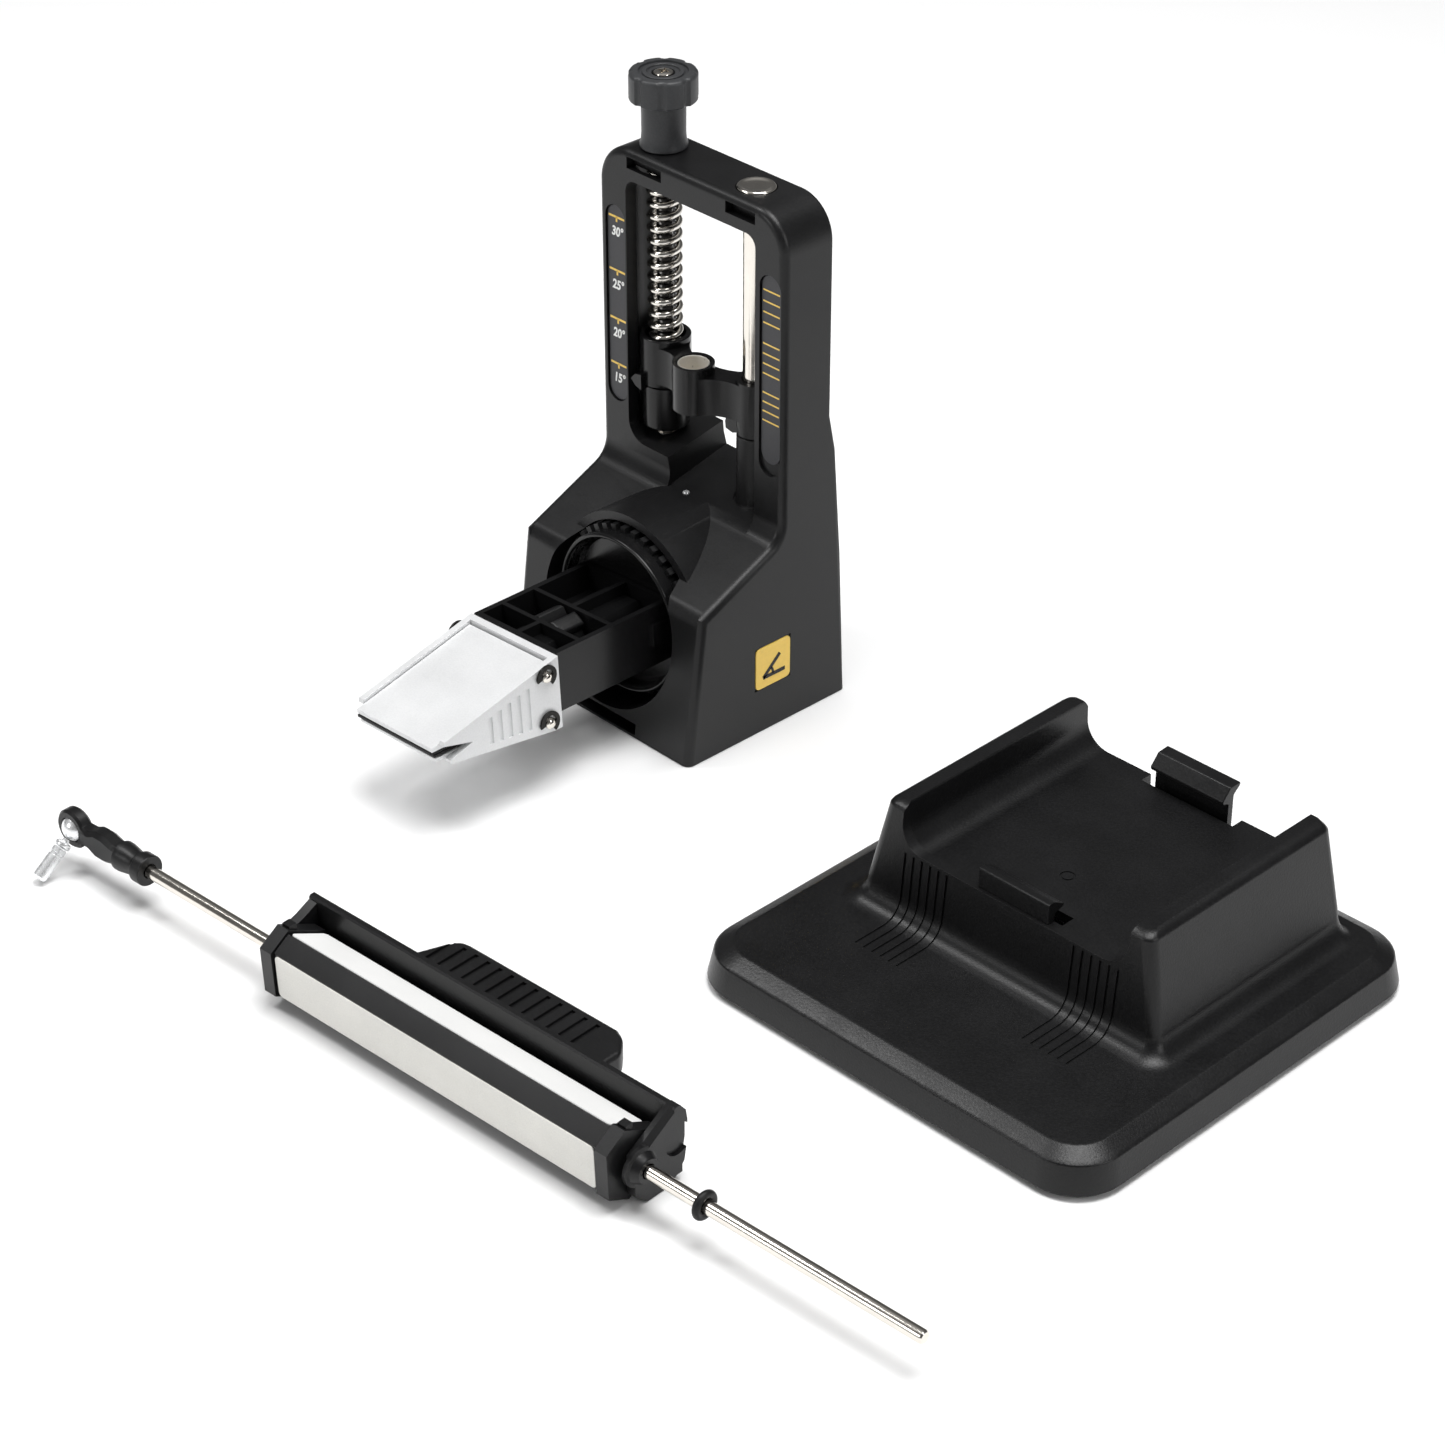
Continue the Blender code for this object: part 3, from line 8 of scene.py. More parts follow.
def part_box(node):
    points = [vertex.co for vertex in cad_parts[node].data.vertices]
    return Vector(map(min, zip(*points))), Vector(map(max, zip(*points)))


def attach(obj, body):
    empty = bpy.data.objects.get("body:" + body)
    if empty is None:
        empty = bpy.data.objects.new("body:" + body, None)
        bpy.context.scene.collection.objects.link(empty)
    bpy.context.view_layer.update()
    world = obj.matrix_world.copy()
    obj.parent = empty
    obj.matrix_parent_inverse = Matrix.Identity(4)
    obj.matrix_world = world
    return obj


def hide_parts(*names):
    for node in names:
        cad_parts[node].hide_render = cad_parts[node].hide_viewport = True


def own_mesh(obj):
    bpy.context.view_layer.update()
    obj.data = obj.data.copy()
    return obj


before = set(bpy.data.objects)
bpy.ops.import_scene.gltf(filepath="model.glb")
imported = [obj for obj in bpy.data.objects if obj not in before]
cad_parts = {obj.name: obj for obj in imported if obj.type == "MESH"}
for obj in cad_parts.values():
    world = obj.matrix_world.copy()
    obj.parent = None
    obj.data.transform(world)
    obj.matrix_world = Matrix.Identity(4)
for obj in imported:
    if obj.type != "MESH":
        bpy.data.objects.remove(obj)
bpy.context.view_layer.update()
mm = 0.001

# Each group of pieces has its own frame; inside it sizes are in millimetres
towerFrame = Matrix.Identity(4)
clampFrame = Matrix.Translation((0, 0, 34.3 * mm)) @ Matrix.Rotation(math.radians(-3.5), 4, "Y")
standFrame = Matrix.Translation((0.190, -0.033, 0)) @ Matrix.Rotation(math.radians(1.2), 4, "Z")
rodFrame = Matrix.Translation((-0.0129, -0.196, 0.0126)) @ Matrix.Rotation(math.radians(3.7), 4, "Z")
coreFrame = rodFrame @ Matrix.Rotation(math.radians(2.6), 4, "X")
pinFrame = rodFrame @ Matrix.Translation((-0.0335, 0, 0)) @ Matrix.Rotation(math.radians(-55.2), 4, "X")

toAxis = {
    "X": Matrix(((0, 0, 1), (1, 0, 0), (0, 1, 0))).to_4x4(),
    "Y": Matrix(((1, 0, 0), (0, 0, 1), (0, 1, 0))).to_4x4(),
    "Z": Matrix.Identity(4),
}


# Modelling helpers

def activate(obj):
    bpy.ops.object.select_all(action="DESELECT")
    obj.select_set(True)
    bpy.context.view_layer.objects.active = obj


def openAll():
    bpy.ops.object.mode_set(mode="EDIT")
    bpy.ops.mesh.select_all(action="SELECT")


def tidyMesh(obj):
    activate(obj)
    openAll()
    bpy.ops.mesh.remove_doubles(threshold=1e-6)
    bpy.ops.mesh.delete_loose()
    bpy.ops.mesh.select_all(action="SELECT")
    bpy.ops.mesh.normals_make_consistent(inside=False)
    bpy.ops.object.mode_set(mode="OBJECT")


def arc(centre, radius, start, end, count):
    turns = [math.radians(start + (end - start) * i / count) for i in range(count + 1)]
    return [(centre[0] + radius * math.cos(a), centre[1] + radius * math.sin(a)) for a in turns]


def slab(name, outline, low, high, axis="Z"):
    # a filled outline pulled to a thickness: (y, z) along X, (x, z) along Y, (x, y) along Z
    bpy.ops.object.select_all(action="DESELECT")
    bpy.ops.mesh.primitive_circle_add(vertices=len(outline), radius=1, fill_type="NGON")
    obj = bpy.context.object
    obj.name = name
    for vertex, (u, v) in zip(obj.data.vertices, outline):
        vertex.co = (u * mm, v * mm, low * mm)
    openAll()
    bpy.ops.mesh.extrude_region_move(TRANSFORM_OT_translate={"value": (0, 0, (high - low) * mm)})
    bpy.ops.object.mode_set(mode="OBJECT")
    obj.data.transform(toAxis[axis])
    tidyMesh(obj)
    return obj


def brick(name, low, high):
    return slab(
        name, [(low[0], low[1]), (high[0], low[1]), (high[0], high[1]), (low[0], high[1])], low[2], high[2]
    )


def post(name, radius, low, high, axis="Z", centre=(0, 0, 0), sides=48):
    outline = arc((0, 0), radius, 0, 360 * (sides - 1) / sides, sides - 1)
    obj = slab(name, outline, low, high, axis)
    obj.data.transform(Matrix.Translation(Vector(centre) * mm))
    return obj


def lathe(name, profile, axis="Z", centre=(0, 0, 0), steps=64):
    # a closed profile of (radius, height) spun round an axis
    bpy.ops.object.select_all(action="DESELECT")
    bpy.ops.mesh.primitive_circle_add(vertices=len(profile), radius=1, fill_type="NOTHING")
    obj = bpy.context.object
    obj.name = name
    for vertex, (radius, height) in zip(obj.data.vertices, profile):
        vertex.co = (radius * mm, 0, height * mm)
    openAll()
    bpy.ops.mesh.spin(steps=steps, angle=2 * math.pi, center=(0, 0, 0), axis=(0, 0, 1))
    bpy.ops.object.mode_set(mode="OBJECT")
    obj.data.transform(Matrix.Translation(Vector(centre) * mm) @ toAxis[axis])
    tidyMesh(obj)
    return obj


def combine(obj, others, operation):
    for other in others:
        activate(obj)
        step = obj.modifiers.new("combine", "BOOLEAN")
        step.operation = operation
        step.solver = "MANIFOLD"
        step.object = other
        bpy.ops.object.modifier_apply(modifier=step.name)
        bpy.data.objects.remove(other)
    return obj


def carve(obj, *cutters):
    return combine(obj, cutters, "DIFFERENCE")


def fuse(obj, *others):
    return combine(obj, others, "UNION")


def soften(obj, width, segments=3, angle=32):
    activate(obj)
    openAll()
    bpy.ops.mesh.dissolve_limited(angle_limit=math.radians(0.5))
    bpy.ops.object.mode_set(mode="OBJECT")
    step = obj.modifiers.new("round", "BEVEL")
    step.width = width * mm
    step.segments = segments
    step.limit_method = "ANGLE"
    step.angle_limit = math.radians(angle)
    step.use_clamp_overlap = True
    step.miter_outer = "MITER_ARC"
    bpy.ops.object.modifier_apply(modifier=step.name)
    return obj


def roundEdges(obj, chooser, width, segments=5):
    # rounds only the edges that chooser picks from their middle point, in millimetres
    activate(obj)
    bpy.ops.object.mode_set(mode="EDIT")
    bpy.ops.mesh.select_mode(type="EDGE")
    bpy.ops.mesh.select_all(action="DESELECT")
    shape = bmesh.from_edit_mesh(obj.data)
    for edge in shape.edges:
        if len(edge.link_faces) == 2 and edge.calc_face_angle(0) > math.radians(25):
            middle = (edge.verts[0].co + edge.verts[1].co) / 2 / mm
            edge.select = bool(chooser(middle))
    bmesh.update_edit_mesh(obj.data)
    bpy.ops.mesh.bevel(offset=width * mm, segments=segments, profile=0.5, affect="EDGES")
    bpy.ops.mesh.select_mode(type="VERT")
    bpy.ops.object.mode_set(mode="OBJECT")
    return obj


def wear(obj, finish):
    obj.data.materials.clear()
    obj.data.materials.append(made.get(finish, finish))


def settle(obj, place, body, finish, replaced=(), smooth=38):
    obj.data.transform(place)
    wear(obj, finish)
    activate(obj)
    bpy.ops.object.shade_smooth_by_angle(angle=math.radians(smooth))
    even = obj.modifiers.new("even", "WEIGHTED_NORMAL")
    even.keep_sharp = True
    bpy.ops.object.modifier_apply(modifier=even.name)
    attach(obj, body)
    if replaced:
        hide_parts(*replaced)
    return obj


def merged(name, pieces):
    bpy.ops.object.select_all(action="DESELECT")
    for piece in pieces:
        piece.select_set(True)
    bpy.context.view_layer.objects.active = pieces[0]
    bpy.ops.object.join()
    pieces[0].name = name
    return pieces[0]


# Finishes
finishes = {
    # colour, its variation, roughness low and high, metallic, grain per metre, grain depth, grain strength
    "mouldedBlack": ((0.0070, 0.0070, 0.0074), 0.30, 0.32, 0.42, 0.0, 1700, 0.00010, 0.26),
    "smoothBlack": ((0.0055, 0.0055, 0.0058), 0.15, 0.21, 0.27, 0.0, 2200, 0.00002, 0.06),
    "standBlack": ((0.0060, 0.0060, 0.0064), 0.30, 0.30, 0.40, 0.0, 1500, 0.00016, 0.34),
    "knobGrey": ((0.034, 0.035, 0.037), 0.22, 0.34, 0.46, 0.0, 1500, 0.00008, 0.25),
    "scaleGrey": ((0.040, 0.040, 0.044), 0.12, 0.32, 0.42, 0.0, 1200, 0.00003, 0.10),
    "printYellow": ((0.88, 0.60, 0.13), 0.05, 0.36, 0.46, 0.0, 900, 0.00003, 0.10),
    "printWhite": ((0.88, 0.88, 0.86), 0.04, 0.40, 0.50, 0.0, 900, 0.00003, 0.08),
    "nickelBright": ((0.78, 0.74, 0.68), 0.05, 0.12, 0.17, 1.0, 400, 0.00001, 0.02),
    "pinBright": ((0.92, 0.93, 0.94), 0.04, 0.24, 0.34, 0.75, 700, 0.00002, 0.06),
    "bushBright": ((0.86, 0.83, 0.77), 0.05, 0.26, 0.36, 0.45, 900, 0.00002, 0.05),
    "steelPlain": ((0.50, 0.48, 0.45), 0.10, 0.22, 0.34, 1.0, 900, 0.00003, 0.10),
    "darkSteel": ((0.10, 0.098, 0.094), 0.15, 0.24, 0.36, 1.0, 900, 0.00003, 0.10),
    "springSteel": ((0.74, 0.71, 0.66), 0.08, 0.12, 0.20, 1.0, 900, 0.00002, 0.05),
    "castAluminium": ((0.76, 0.765, 0.77), 0.06, 0.40, 0.52, 0.35, 1900, 0.00010, 0.26),
    "turnedBrass": ((0.66, 0.46, 0.18), 0.08, 0.22, 0.34, 1.0, 900, 0.00002, 0.08),
    "softRubber": ((0.0065, 0.0065, 0.0068), 0.20, 0.44, 0.56, 0.0, 1500, 0.00005, 0.20),
    "clipDark": ((0.020, 0.019, 0.018), 0.20, 0.25, 0.38, 0.6, 900, 0.00003, 0.10),
    "diamondGrit": ((0.74, 0.73, 0.69), 0.12, 0.42, 0.58, 0.15, 3600, 0.00014, 0.60),
    "whiteCeramic": ((0.80, 0.80, 0.79), 0.04, 0.42, 0.55, 0.0, 2600, 0.00004, 0.25),
}


def addNode(tree, kind, values):
    node = tree.nodes.new(f"ShaderNode{kind}")
    for socket, value in values.items():
        node.inputs[socket].default_value = value
    return node


def makeFinish(name):
    colour, spread, low, high, metallic, grain, depth, strength = finishes[name]
    material = bpy.data.materials.new(name)
    material.use_nodes = True
    tree = material.node_tree
    shader = tree.nodes["Principled BSDF"]
    shader.inputs["Metallic"].default_value = metallic
    shader.inputs["Specular IOR Level"].default_value = 0.31
    where = addNode(tree, "TexCoord", {})
    broad = addNode(tree, "TexNoise", {"Scale": 60, "Detail": 5})
    fine = addNode(tree, "TexNoise", {"Scale": grain, "Detail": 3})
    tree.links.new(where.outputs["Object"], broad.inputs["Vector"])
    tree.links.new(where.outputs["Object"], fine.inputs["Vector"])
    tone = addNode(tree, "ValToRGB", {})
    tone.color_ramp.elements[0].position = 0.3
    tone.color_ramp.elements[1].position = 0.7
    tone.color_ramp.elements[0].color = (*[c * (1 - spread) for c in colour], 1)
    tone.color_ramp.elements[1].color = (*[min(1, c * (1 + spread)) for c in colour], 1)
    # the broad cloud and the fine grain, mixed nearly half and half
    blend = addNode(tree, "Math", {1: 0.45})
    blend.operation = "MULTIPLY_ADD"
    half = addNode(tree, "Math", {1: 0.55})
    half.operation = "MULTIPLY"
    tree.links.new(fine.outputs["Fac"], half.inputs[0])
    tree.links.new(broad.outputs["Fac"], blend.inputs[0])
    tree.links.new(half.outputs[0], blend.inputs[2])
    tree.links.new(blend.outputs[0], tone.inputs["Fac"])
    tree.links.new(tone.outputs["Color"], shader.inputs["Base Color"])
    rough = addNode(tree, "MapRange", {"From Min": 0.35, "From Max": 0.65, "To Min": low, "To Max": high})
    tree.links.new(blend.outputs[0], rough.inputs["Value"])
    tree.links.new(rough.outputs["Result"], shader.inputs["Roughness"])
    bump = addNode(tree, "Bump", {"Strength": strength, "Distance": depth})
    tree.links.new(fine.outputs["Fac"], bump.inputs["Height"])
    tree.links.new(bump.outputs["Normal"], shader.inputs["Normal"])
    return material


made = {name: makeFinish(name) for name in finishes}


def makeThread(name, finish, pitch, axis):
    # steel with a fine thread: bands of bump along the screw's own axis
    material = made[finish].copy()
    material.name = name
    tree = material.node_tree
    # the wave repeats every pi / 10 units
    wave = addNode(tree, "TexWave", {"Scale": math.pi / (10 * pitch * mm)})
    wave.wave_type = "BANDS"
    wave.bands_direction = axis
    wave.wave_profile = "TRI"
    where = tree.nodes["Texture Coordinate"]
    tree.links.new(where.outputs["Object"], wave.inputs["Vector"])
    groove = addNode(tree, "Bump", {"Strength": 0.9, "Distance": 0.0004})
    tree.links.new(wave.outputs["Fac"], groove.inputs["Height"])
    tree.links.new(tree.nodes["Bump"].outputs["Normal"], groove.inputs["Normal"])
    tree.links.new(groove.outputs["Normal"], tree.nodes["Principled BSDF"].inputs["Normal"])
    return material


def keepNode(name, finish):
    wear(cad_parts[name], finish)


# Camera, floor and light
cameraPlace = {
    "location": (0.7428, -0.6858, 0.630),
    "right": (0.6880, 0.7250, 0.0),
    "up": (-0.3910, 0.3710, 0.8420),
    "back": (0.6110, -0.5800, 0.5390),
    "lens": 93.3,
}
camera = bpy.data.objects.new("camera", bpy.data.cameras.new("camera"))
bpy.context.scene.collection.objects.link(camera)
camera.data.lens = cameraPlace["lens"]
camera.data.sensor_width = 36
camera.data.clip_start = 0.01
camera.matrix_world = Matrix.Translation(cameraPlace["location"]) @ Matrix(
    [[cameraPlace[side][row] for side in ("right", "up", "back")] for row in range(3)]
).to_4x4()
bpy.context.scene.camera = camera

studio = {
    "levels": ((0.0, 0.30), (0.50, 0.30), (0.60, 0.11), (0.80, 0.10), (1.0, 0.45)),
    "floor": (0.93, 0.93, 0.93),
}
world = bpy.data.worlds.new("studio")
world.use_nodes = True
sky = world.node_tree
where = addNode(sky, "TexCoord", {})
split = addNode(sky, "SeparateXYZ", {})
height = addNode(sky, "MapRange", {"From Min": -1})
shade = addNode(sky, "ValToRGB", {})
for index, (position, value) in enumerate(studio["levels"]):
    stop = shade.color_ramp.elements.new(position) if index > 1 else shade.color_ramp.elements[index]
    stop.position = position
    stop.color = (value, value, value, 1)
sky.links.new(where.outputs["Generated"], split.inputs["Vector"])
sky.links.new(split.outputs["Z"], height.inputs["Value"])
sky.links.new(height.outputs["Result"], shade.inputs["Fac"])
sky.links.new(shade.outputs["Color"], sky.nodes["Background"].inputs["Color"])
bpy.context.scene.world = world
bpy.context.scene.view_settings.view_transform = "Standard"


def addFloor():
    bpy.ops.object.select_all(action="DESELECT")
    bpy.ops.mesh.primitive_plane_add(size=8, location=(0, 0, -0.0002))
    floor = bpy.context.object
    floor.name = "floor"
    paper = bpy.data.materials.new("paper")
    paper.use_nodes = True
    paper.node_tree.nodes["Principled BSDF"].inputs["Base Color"].default_value = (*studio["floor"], 1)
    paper.node_tree.nodes["Principled BSDF"].inputs["Roughness"].default_value = 0.9
    floor.data.materials.append(paper)


def addSoftbox(name, direction, distance, size, power, target=(0.09, -0.07, 0.05)):
    lamp = bpy.data.lights.new(name, "AREA")
    lamp.shape = "RECTANGLE"
    lamp.size, lamp.size_y = size
    lamp.energy = power
    obj = bpy.data.objects.new(name, lamp)
    bpy.context.scene.collection.objects.link(obj)
    away = Vector(direction).normalized()
    obj.matrix_world = Matrix.Translation(
        Vector(target) + away * distance
    ) @ away.to_track_quat("Z", "Y").to_matrix().to_4x4()


addFloor()
addSoftbox("overhead", (0.12, 0.10, 1.0), 1.6, (0.9, 0.9), 25)
addSoftbox("edgeLeft", (-0.54, -0.27, 0.80), 1.35, (0.22, 0.30), 3.4, (0.10, -0.10, 0.03))
addSoftbox("edgeFront", (-0.56, -0.24, 1.09), 1.25, (0.16, 0.12), 1.5)
addSoftbox("fillRight", (1.0, 0.15, 0.5), 1.6, (0.5, 0.8), 5)
addSoftbox("fillFront", (-0.35, -1.0, 0.45), 1.6, (0.5, 0.5), 4)
print("camera, floor and light ready")


# Tower
tower = {
    "half": 40.5,
    "height": 171.0,
    "columnFront": 5.5,
    "columnBack": 26.0,
    "columnMid": 15.75,
    "windowHalf": 28.2,
    "windowTop": 165.5,
    "barUnder": 161.5,
    "crown": 13.0,
    "sillSlope": 0.456,
    "sillRise": 0.19,
    "hump": 31.7,
    "drumBore": 28.9,
    "screwX": -22.0,
    "guideX": 18.0,
    "clampZ": 34.3,
}


def buildHousing():
    t = tower
    half, top, front, back, w = t["half"], t["height"], t["columnFront"], t["columnBack"], t["windowHalf"]
    # the slope meets the column in a hollow of radius 8
    hollow = arc((front - 8, 70.1), 8, -65.5, 0, 8)
    side = [(-34, 0), (-27.8, 49.8)] + hollow + [
        (front, top), (back, top), (back, 100), (28.5, 88), (31.5, 50), (34, 0),
    ]
    housing = slab("towerHousing", side, -half, half, "X")
    inset, crown = half - t["crown"], top - t["crown"]
    for way in (-1, 1):
        corner = [(way * u, v) for u, v in arc((inset, crown), t["crown"], 0, 90, 14)]
        corner += [(way * inset, top + 2), (way * (half + 2), top + 2), (way * (half + 2), crown)]
        carve(housing, slab("crownCut", corner, -50, 50, "Y"))
    roundEdges(
        housing, lambda m: m.y < front + 0.1 and m.z > 1 and (abs(m.x) > half - 0.1 or m.z > 150), 2.6, 6
    )
    roundEdges(
        housing, lambda m: m.y > back - 0.1 and m.z > 1 and (abs(m.x) > half - 0.1 or m.z > 150), 1.6, 3
    )
    roundEdges(housing, lambda m: m.y < -20 and 40 < m.z < 60 and abs(m.x) < 30, 3.5, 5)
    sillEnd = back + 8
    window = [(-w, 95), (-w, 80.5)] + arc((7 - w, 80.5), 7, 180, 270, 8) + [(-10.4, 73.5), (-10.4, 95)]
    high = slab(
        "windowHigh",
        [(-w, 94), (w, 94)] + arc((w - 4, t["barUnder"] - 4), 4, 0, 90, 6) + arc(
            (4 - w, t["barUnder"] - 4), 4, 90, 180, 6
        ),
        -12, sillEnd, "Y",
    )
    bearing = slab("bearingCut", window, -12, sillEnd, "Y")
    bearing = combine(
        bearing,
        [
            slab(
                "bearingSlope",
                [
                    (-12, 73.2), (front, 73.2), (sillEnd, 73.2 + t["sillRise"] * 28.5), (sillEnd, 99),
                    (-12, 99),
                ],
                -w - 1, 0, "X",
            ),
        ],
        "INTERSECT",
    )
    lowCut = slab("lowSillCut", [(-10.5, 95), (-10.5, 73.9), (-7.4, 60), (w, 60), (w, 95)], -12, sillEnd, "Y")
    sill = [
        (-12, 65.06 - 17.5 * t["sillSlope"]), (front, 65.06), (sillEnd, 65 + t["sillRise"] * 28.5),
        (sillEnd, 99), (-12, 99),
    ]
    lowCut = combine(lowCut, [slab("lowSlope", sill, -12, w + 2, "X")], "INTERSECT")
    carve(housing, high, bearing, lowCut)
    fuse(housing, post("hump", t["hump"], -19.5, 14, "Y", (0, 0, t["clampZ"]), 128))
    screw, guide = (t["screwX"], t["columnMid"], 0), (t["guideX"], t["columnMid"], 0)
    carve(
        housing,
        post("cupChannel", 8.6, 77, t["windowTop"], "Z", screw, 48),
        post("drumBore", t["drumBore"], -36, 8.8, "Y", (0, 0, t["clampZ"]), 128),
        post("spindleBore", 8.3, 0, 20, "Y", (0, 0, t["clampZ"]), 48),
        brick("rearPocket", (-37.5, 16.7, 5), (37.5, 36, 60)),
        brick("hookSlot", (-16.3, -36, 0.8), (16.3, -26, 4.6)),
    )
    soften(housing, 0.45, 2, 40)
    carve(
        housing,
        post("washerSeat", 4.4, 75, 80, "Z", screw, 32),
        post("leadHole", 2.8, 68.5, top + 1, "Z", screw, 32),
        post("capHole", 6.3, top - 2.5, top + 1, "Z", guide, 48),
        lathe("bossPocket", [(0, 66.0), (6.6, 66.0), (7.4, 66.8), (8.6, 72), (0, 72)], "Z", guide, 48),
        brick("badgeSeat", (40.0, -5.6, 15.3), (41, 9.6, 30.5)),
        brick("notchLeft", (-27.5, front - 1, 165.2), (-12.3, front + 3.0, 168.9)),
        brick("notchRight", (15.4, front - 1, 165.2), (28.0, front + 3.0, 168.9)),
    )
    for x in (-33.1, 34.5):
        carve(housing, slab("plateSeat", stadium(x, 4.4, 84.7, 151.3, 12), front - 2, front + 1.0, "Y"))
    fuse(
        housing,
        lathe(
            "guideBoss",
            [(0, 89.4), (5.5, 89.4), (5.8, 89.1), (5.9, 67), (6.6, 65), (6.6, 60), (0, 60)],
            "Z", guide, 48,
        ),
    )
    carve(housing, post("guideHole", 4.3, 70, top + 1, "Z", guide, 48))
    settle(housing, towerFrame, "tower", "mouldedBlack", ["tower_housing"], 28)
    dimple = lathe(
        "sightPin", [(0, 66.6), (0.9, 66.4), (1.2, 65.9), (1.2, 65), (0, 65)], "Z", (0, 3.6, 0), 24
    )
    settle(dimple, towerFrame, "tower", "pinBright")


def stadium(x, half, low, high, count=10):
    return arc((x, high - half), half, 0, 180, count) + arc((x, low + half), half, 180, 360, count)


scale = {"edge": 161.0, "zero": 97.2, "front": 6.15, "left": -33.1, "right": 34.5}


def markHeight(degrees):
    return scale["zero"] + scale["edge"] * (math.tan(math.radians(degrees)) - math.tan(math.radians(15)))


def buildScales():
    face = scale["front"] - 0.04
    for name, x, node in (
        ("leftScale", scale["left"], "left_scale"), ("rightScale", scale["right"], "right_scale")
    ):
        low = 85 if x < 0 else 88.6
        plate = slab(name, stadium(x, 4.1, low, 151, 16), scale["front"], scale["front"] + 0.6, "Y")
        soften(plate, 0.12, 2)
        settle(plate, towerFrame, "tower", "scaleGrey", [node])
    lines = []
    for degrees in (15, 20, 25, 30):
        z = markHeight(degrees)
        x = scale["left"]
        lines.append(brick("mark", (x - 3.5, face, z - 0.35), (x + 3.5, face + 0.1, z + 0.35)))
        lines.append(brick("mark", (x - 0.35, face, z - 1.6), (x + 0.35, face + 0.1, z)))
    for degrees in (16, 17, 18, 19, 21, 22, 23, 24, 26, 27, 28, 29):
        z = markHeight(degrees) + 2.4
        x = scale["right"]
        lines.append(brick("mark", (x - 3.5, face, z - 0.25), (x + 3.5, face + 0.1, z + 0.25)))
    settle(merged("scaleMarks", lines), towerFrame, "tower", "printYellow")
    numbers = []
    for degrees in (15, 20, 25, 30):
        label = writeText(f"{degrees}°", 4.3)
        place = Matrix.Translation(Vector((scale["left"] + 0.3, face + 0.02, markHeight(degrees) - 4.9)) * mm)
        label.data.transform(
            place @ Matrix.Rotation(math.radians(90), 4, "X") @ Matrix.Diagonal((0.86, 1, 1, 1))
        )
        numbers.append(label)
    settle(merged("scaleNumbers", numbers), towerFrame, "tower", "printWhite")


def writeText(words, height):
    curve = bpy.data.curves.new("label", "FONT")
    curve.body = words
    curve.size = height * mm
    curve.shear = 0.14
    curve.offset = 0.13 * mm
    curve.extrude = 0.05 * mm
    curve.align_x = "CENTER"
    curve.align_y = "CENTER"
    curve.resolution_u = 4
    label = bpy.data.objects.new("label", curve)
    bpy.context.scene.collection.objects.link(label)
    activate(label)
    bpy.ops.object.convert(target="MESH")
    return bpy.context.object


badge = {"side": 14.6, "y": 2.0, "z": 22.9, "face": 40.5, "corner": 1.6}


def buildBadge():
    h, c = badge["side"] / 2, badge["corner"]
    y, z, x = badge["y"], badge["z"], badge["face"]
    outline = []
    for cy, cz, start in ((1, 1, 0), (-1, 1, 90), (-1, -1, 180), (1, -1, 270)):
        outline += arc((y + cy * (h - c), z + cz * (h - c)), c, start, start + 90, 5)
    label = slab("sideBadge", outline, x - 0.4, x + 0.2, "X")
    soften(label, 0.12, 2)
    settle(label, towerFrame, "tower", "printYellow", ["side_badge"])
    # a plain angle sign: two legs and the arc between them
    corner = (y - 4.2, z - 3.6)
    legs = [
        slab("leg", bar(corner, 0, 9.2, 1.3), x + 0.2, x + 0.3, "X"),
        slab("leg", bar(corner, 42, 9.4, 1.3), x + 0.2, x + 0.3, "X"),
    ]
    sweep = arc(corner, 4.6, 3, 39, 10) + arc(corner, 3.7, 39, 3, 10)
    legs.append(slab("sweep", sweep, x + 0.2, x + 0.3, "X"))
    settle(merged("badgeSign", legs), towerFrame, "tower", "smoothBlack")


def bar(start, degrees, length, width):
    a = math.radians(degrees)
    along, across = (math.cos(a), math.sin(a)), (-math.sin(a) * width / 2, math.cos(a) * width / 2)
    end = (start[0] + along[0] * length, start[1] + along[1] * length)
    return [
        (start[0] - across[0], start[1] - across[1]),
        (end[0] - across[0], end[1] - across[1]),
        (end[0] + across[0], end[1] + across[1]),
        (start[0] + across[0], start[1] + across[1]),
    ]


coverSpots = ((-31.2, 11.3), (31.2, 11.3), (-31.2, 53.7), (31.2, 53.7))


def buildCover():
    cover = brick("rearCover", (-37.2, 27.5, 5.3), (37.2, 30, 59.7))
    for z in range(14, 54, 8):
        cover = carve(cover, brick("rib", (-26, 29.4, z), (26, 31, z + 1.2)))
    for x, z in coverSpots:
        carve(
            cover, post("hole", 1.9, 26, 31, "Y", (x, 0, z), 24),
            post("sink", 3.6, 28.8, 31, "Y", (x, 0, z), 32),
        )
    soften(cover, 0.4, 3, 40)
    settle(cover, towerFrame, "tower", "mouldedBlack", ["rear_cover"])
    for index, (x, z) in enumerate(coverSpots, 1):
        screw = lathe(
            f"coverScrew{index}",
            [(0, 30.0), (1.6, 29.9), (2.6, 29.5), (3.1, 28.9), (3.1, 28.2), (1.5, 28.2), (1.5, 22), (0, 22)],
            "Y", (x, 0, z), 32,
        )
        for turn in (45, 135):
            cutter = brick("cross", (-2.2, 29.2, -0.35), (2.2, 31, 0.35))
            cutter.data.transform(
                Matrix.Translation((x * mm, 0, z * mm)) @ Matrix.Rotation(math.radians(turn), 4, "Y")
            )
            carve(screw, cutter)
        settle(screw, towerFrame, "tower", "steelPlain", [f"cover_screw_{index}"])


knob = {
    "x": -22.0, "y": 15.75, "foot": 171.3, "neck": 6.85, "head": 186.3, "top": 195.3, "radius": 10.5,
    "lobes": 8,
}


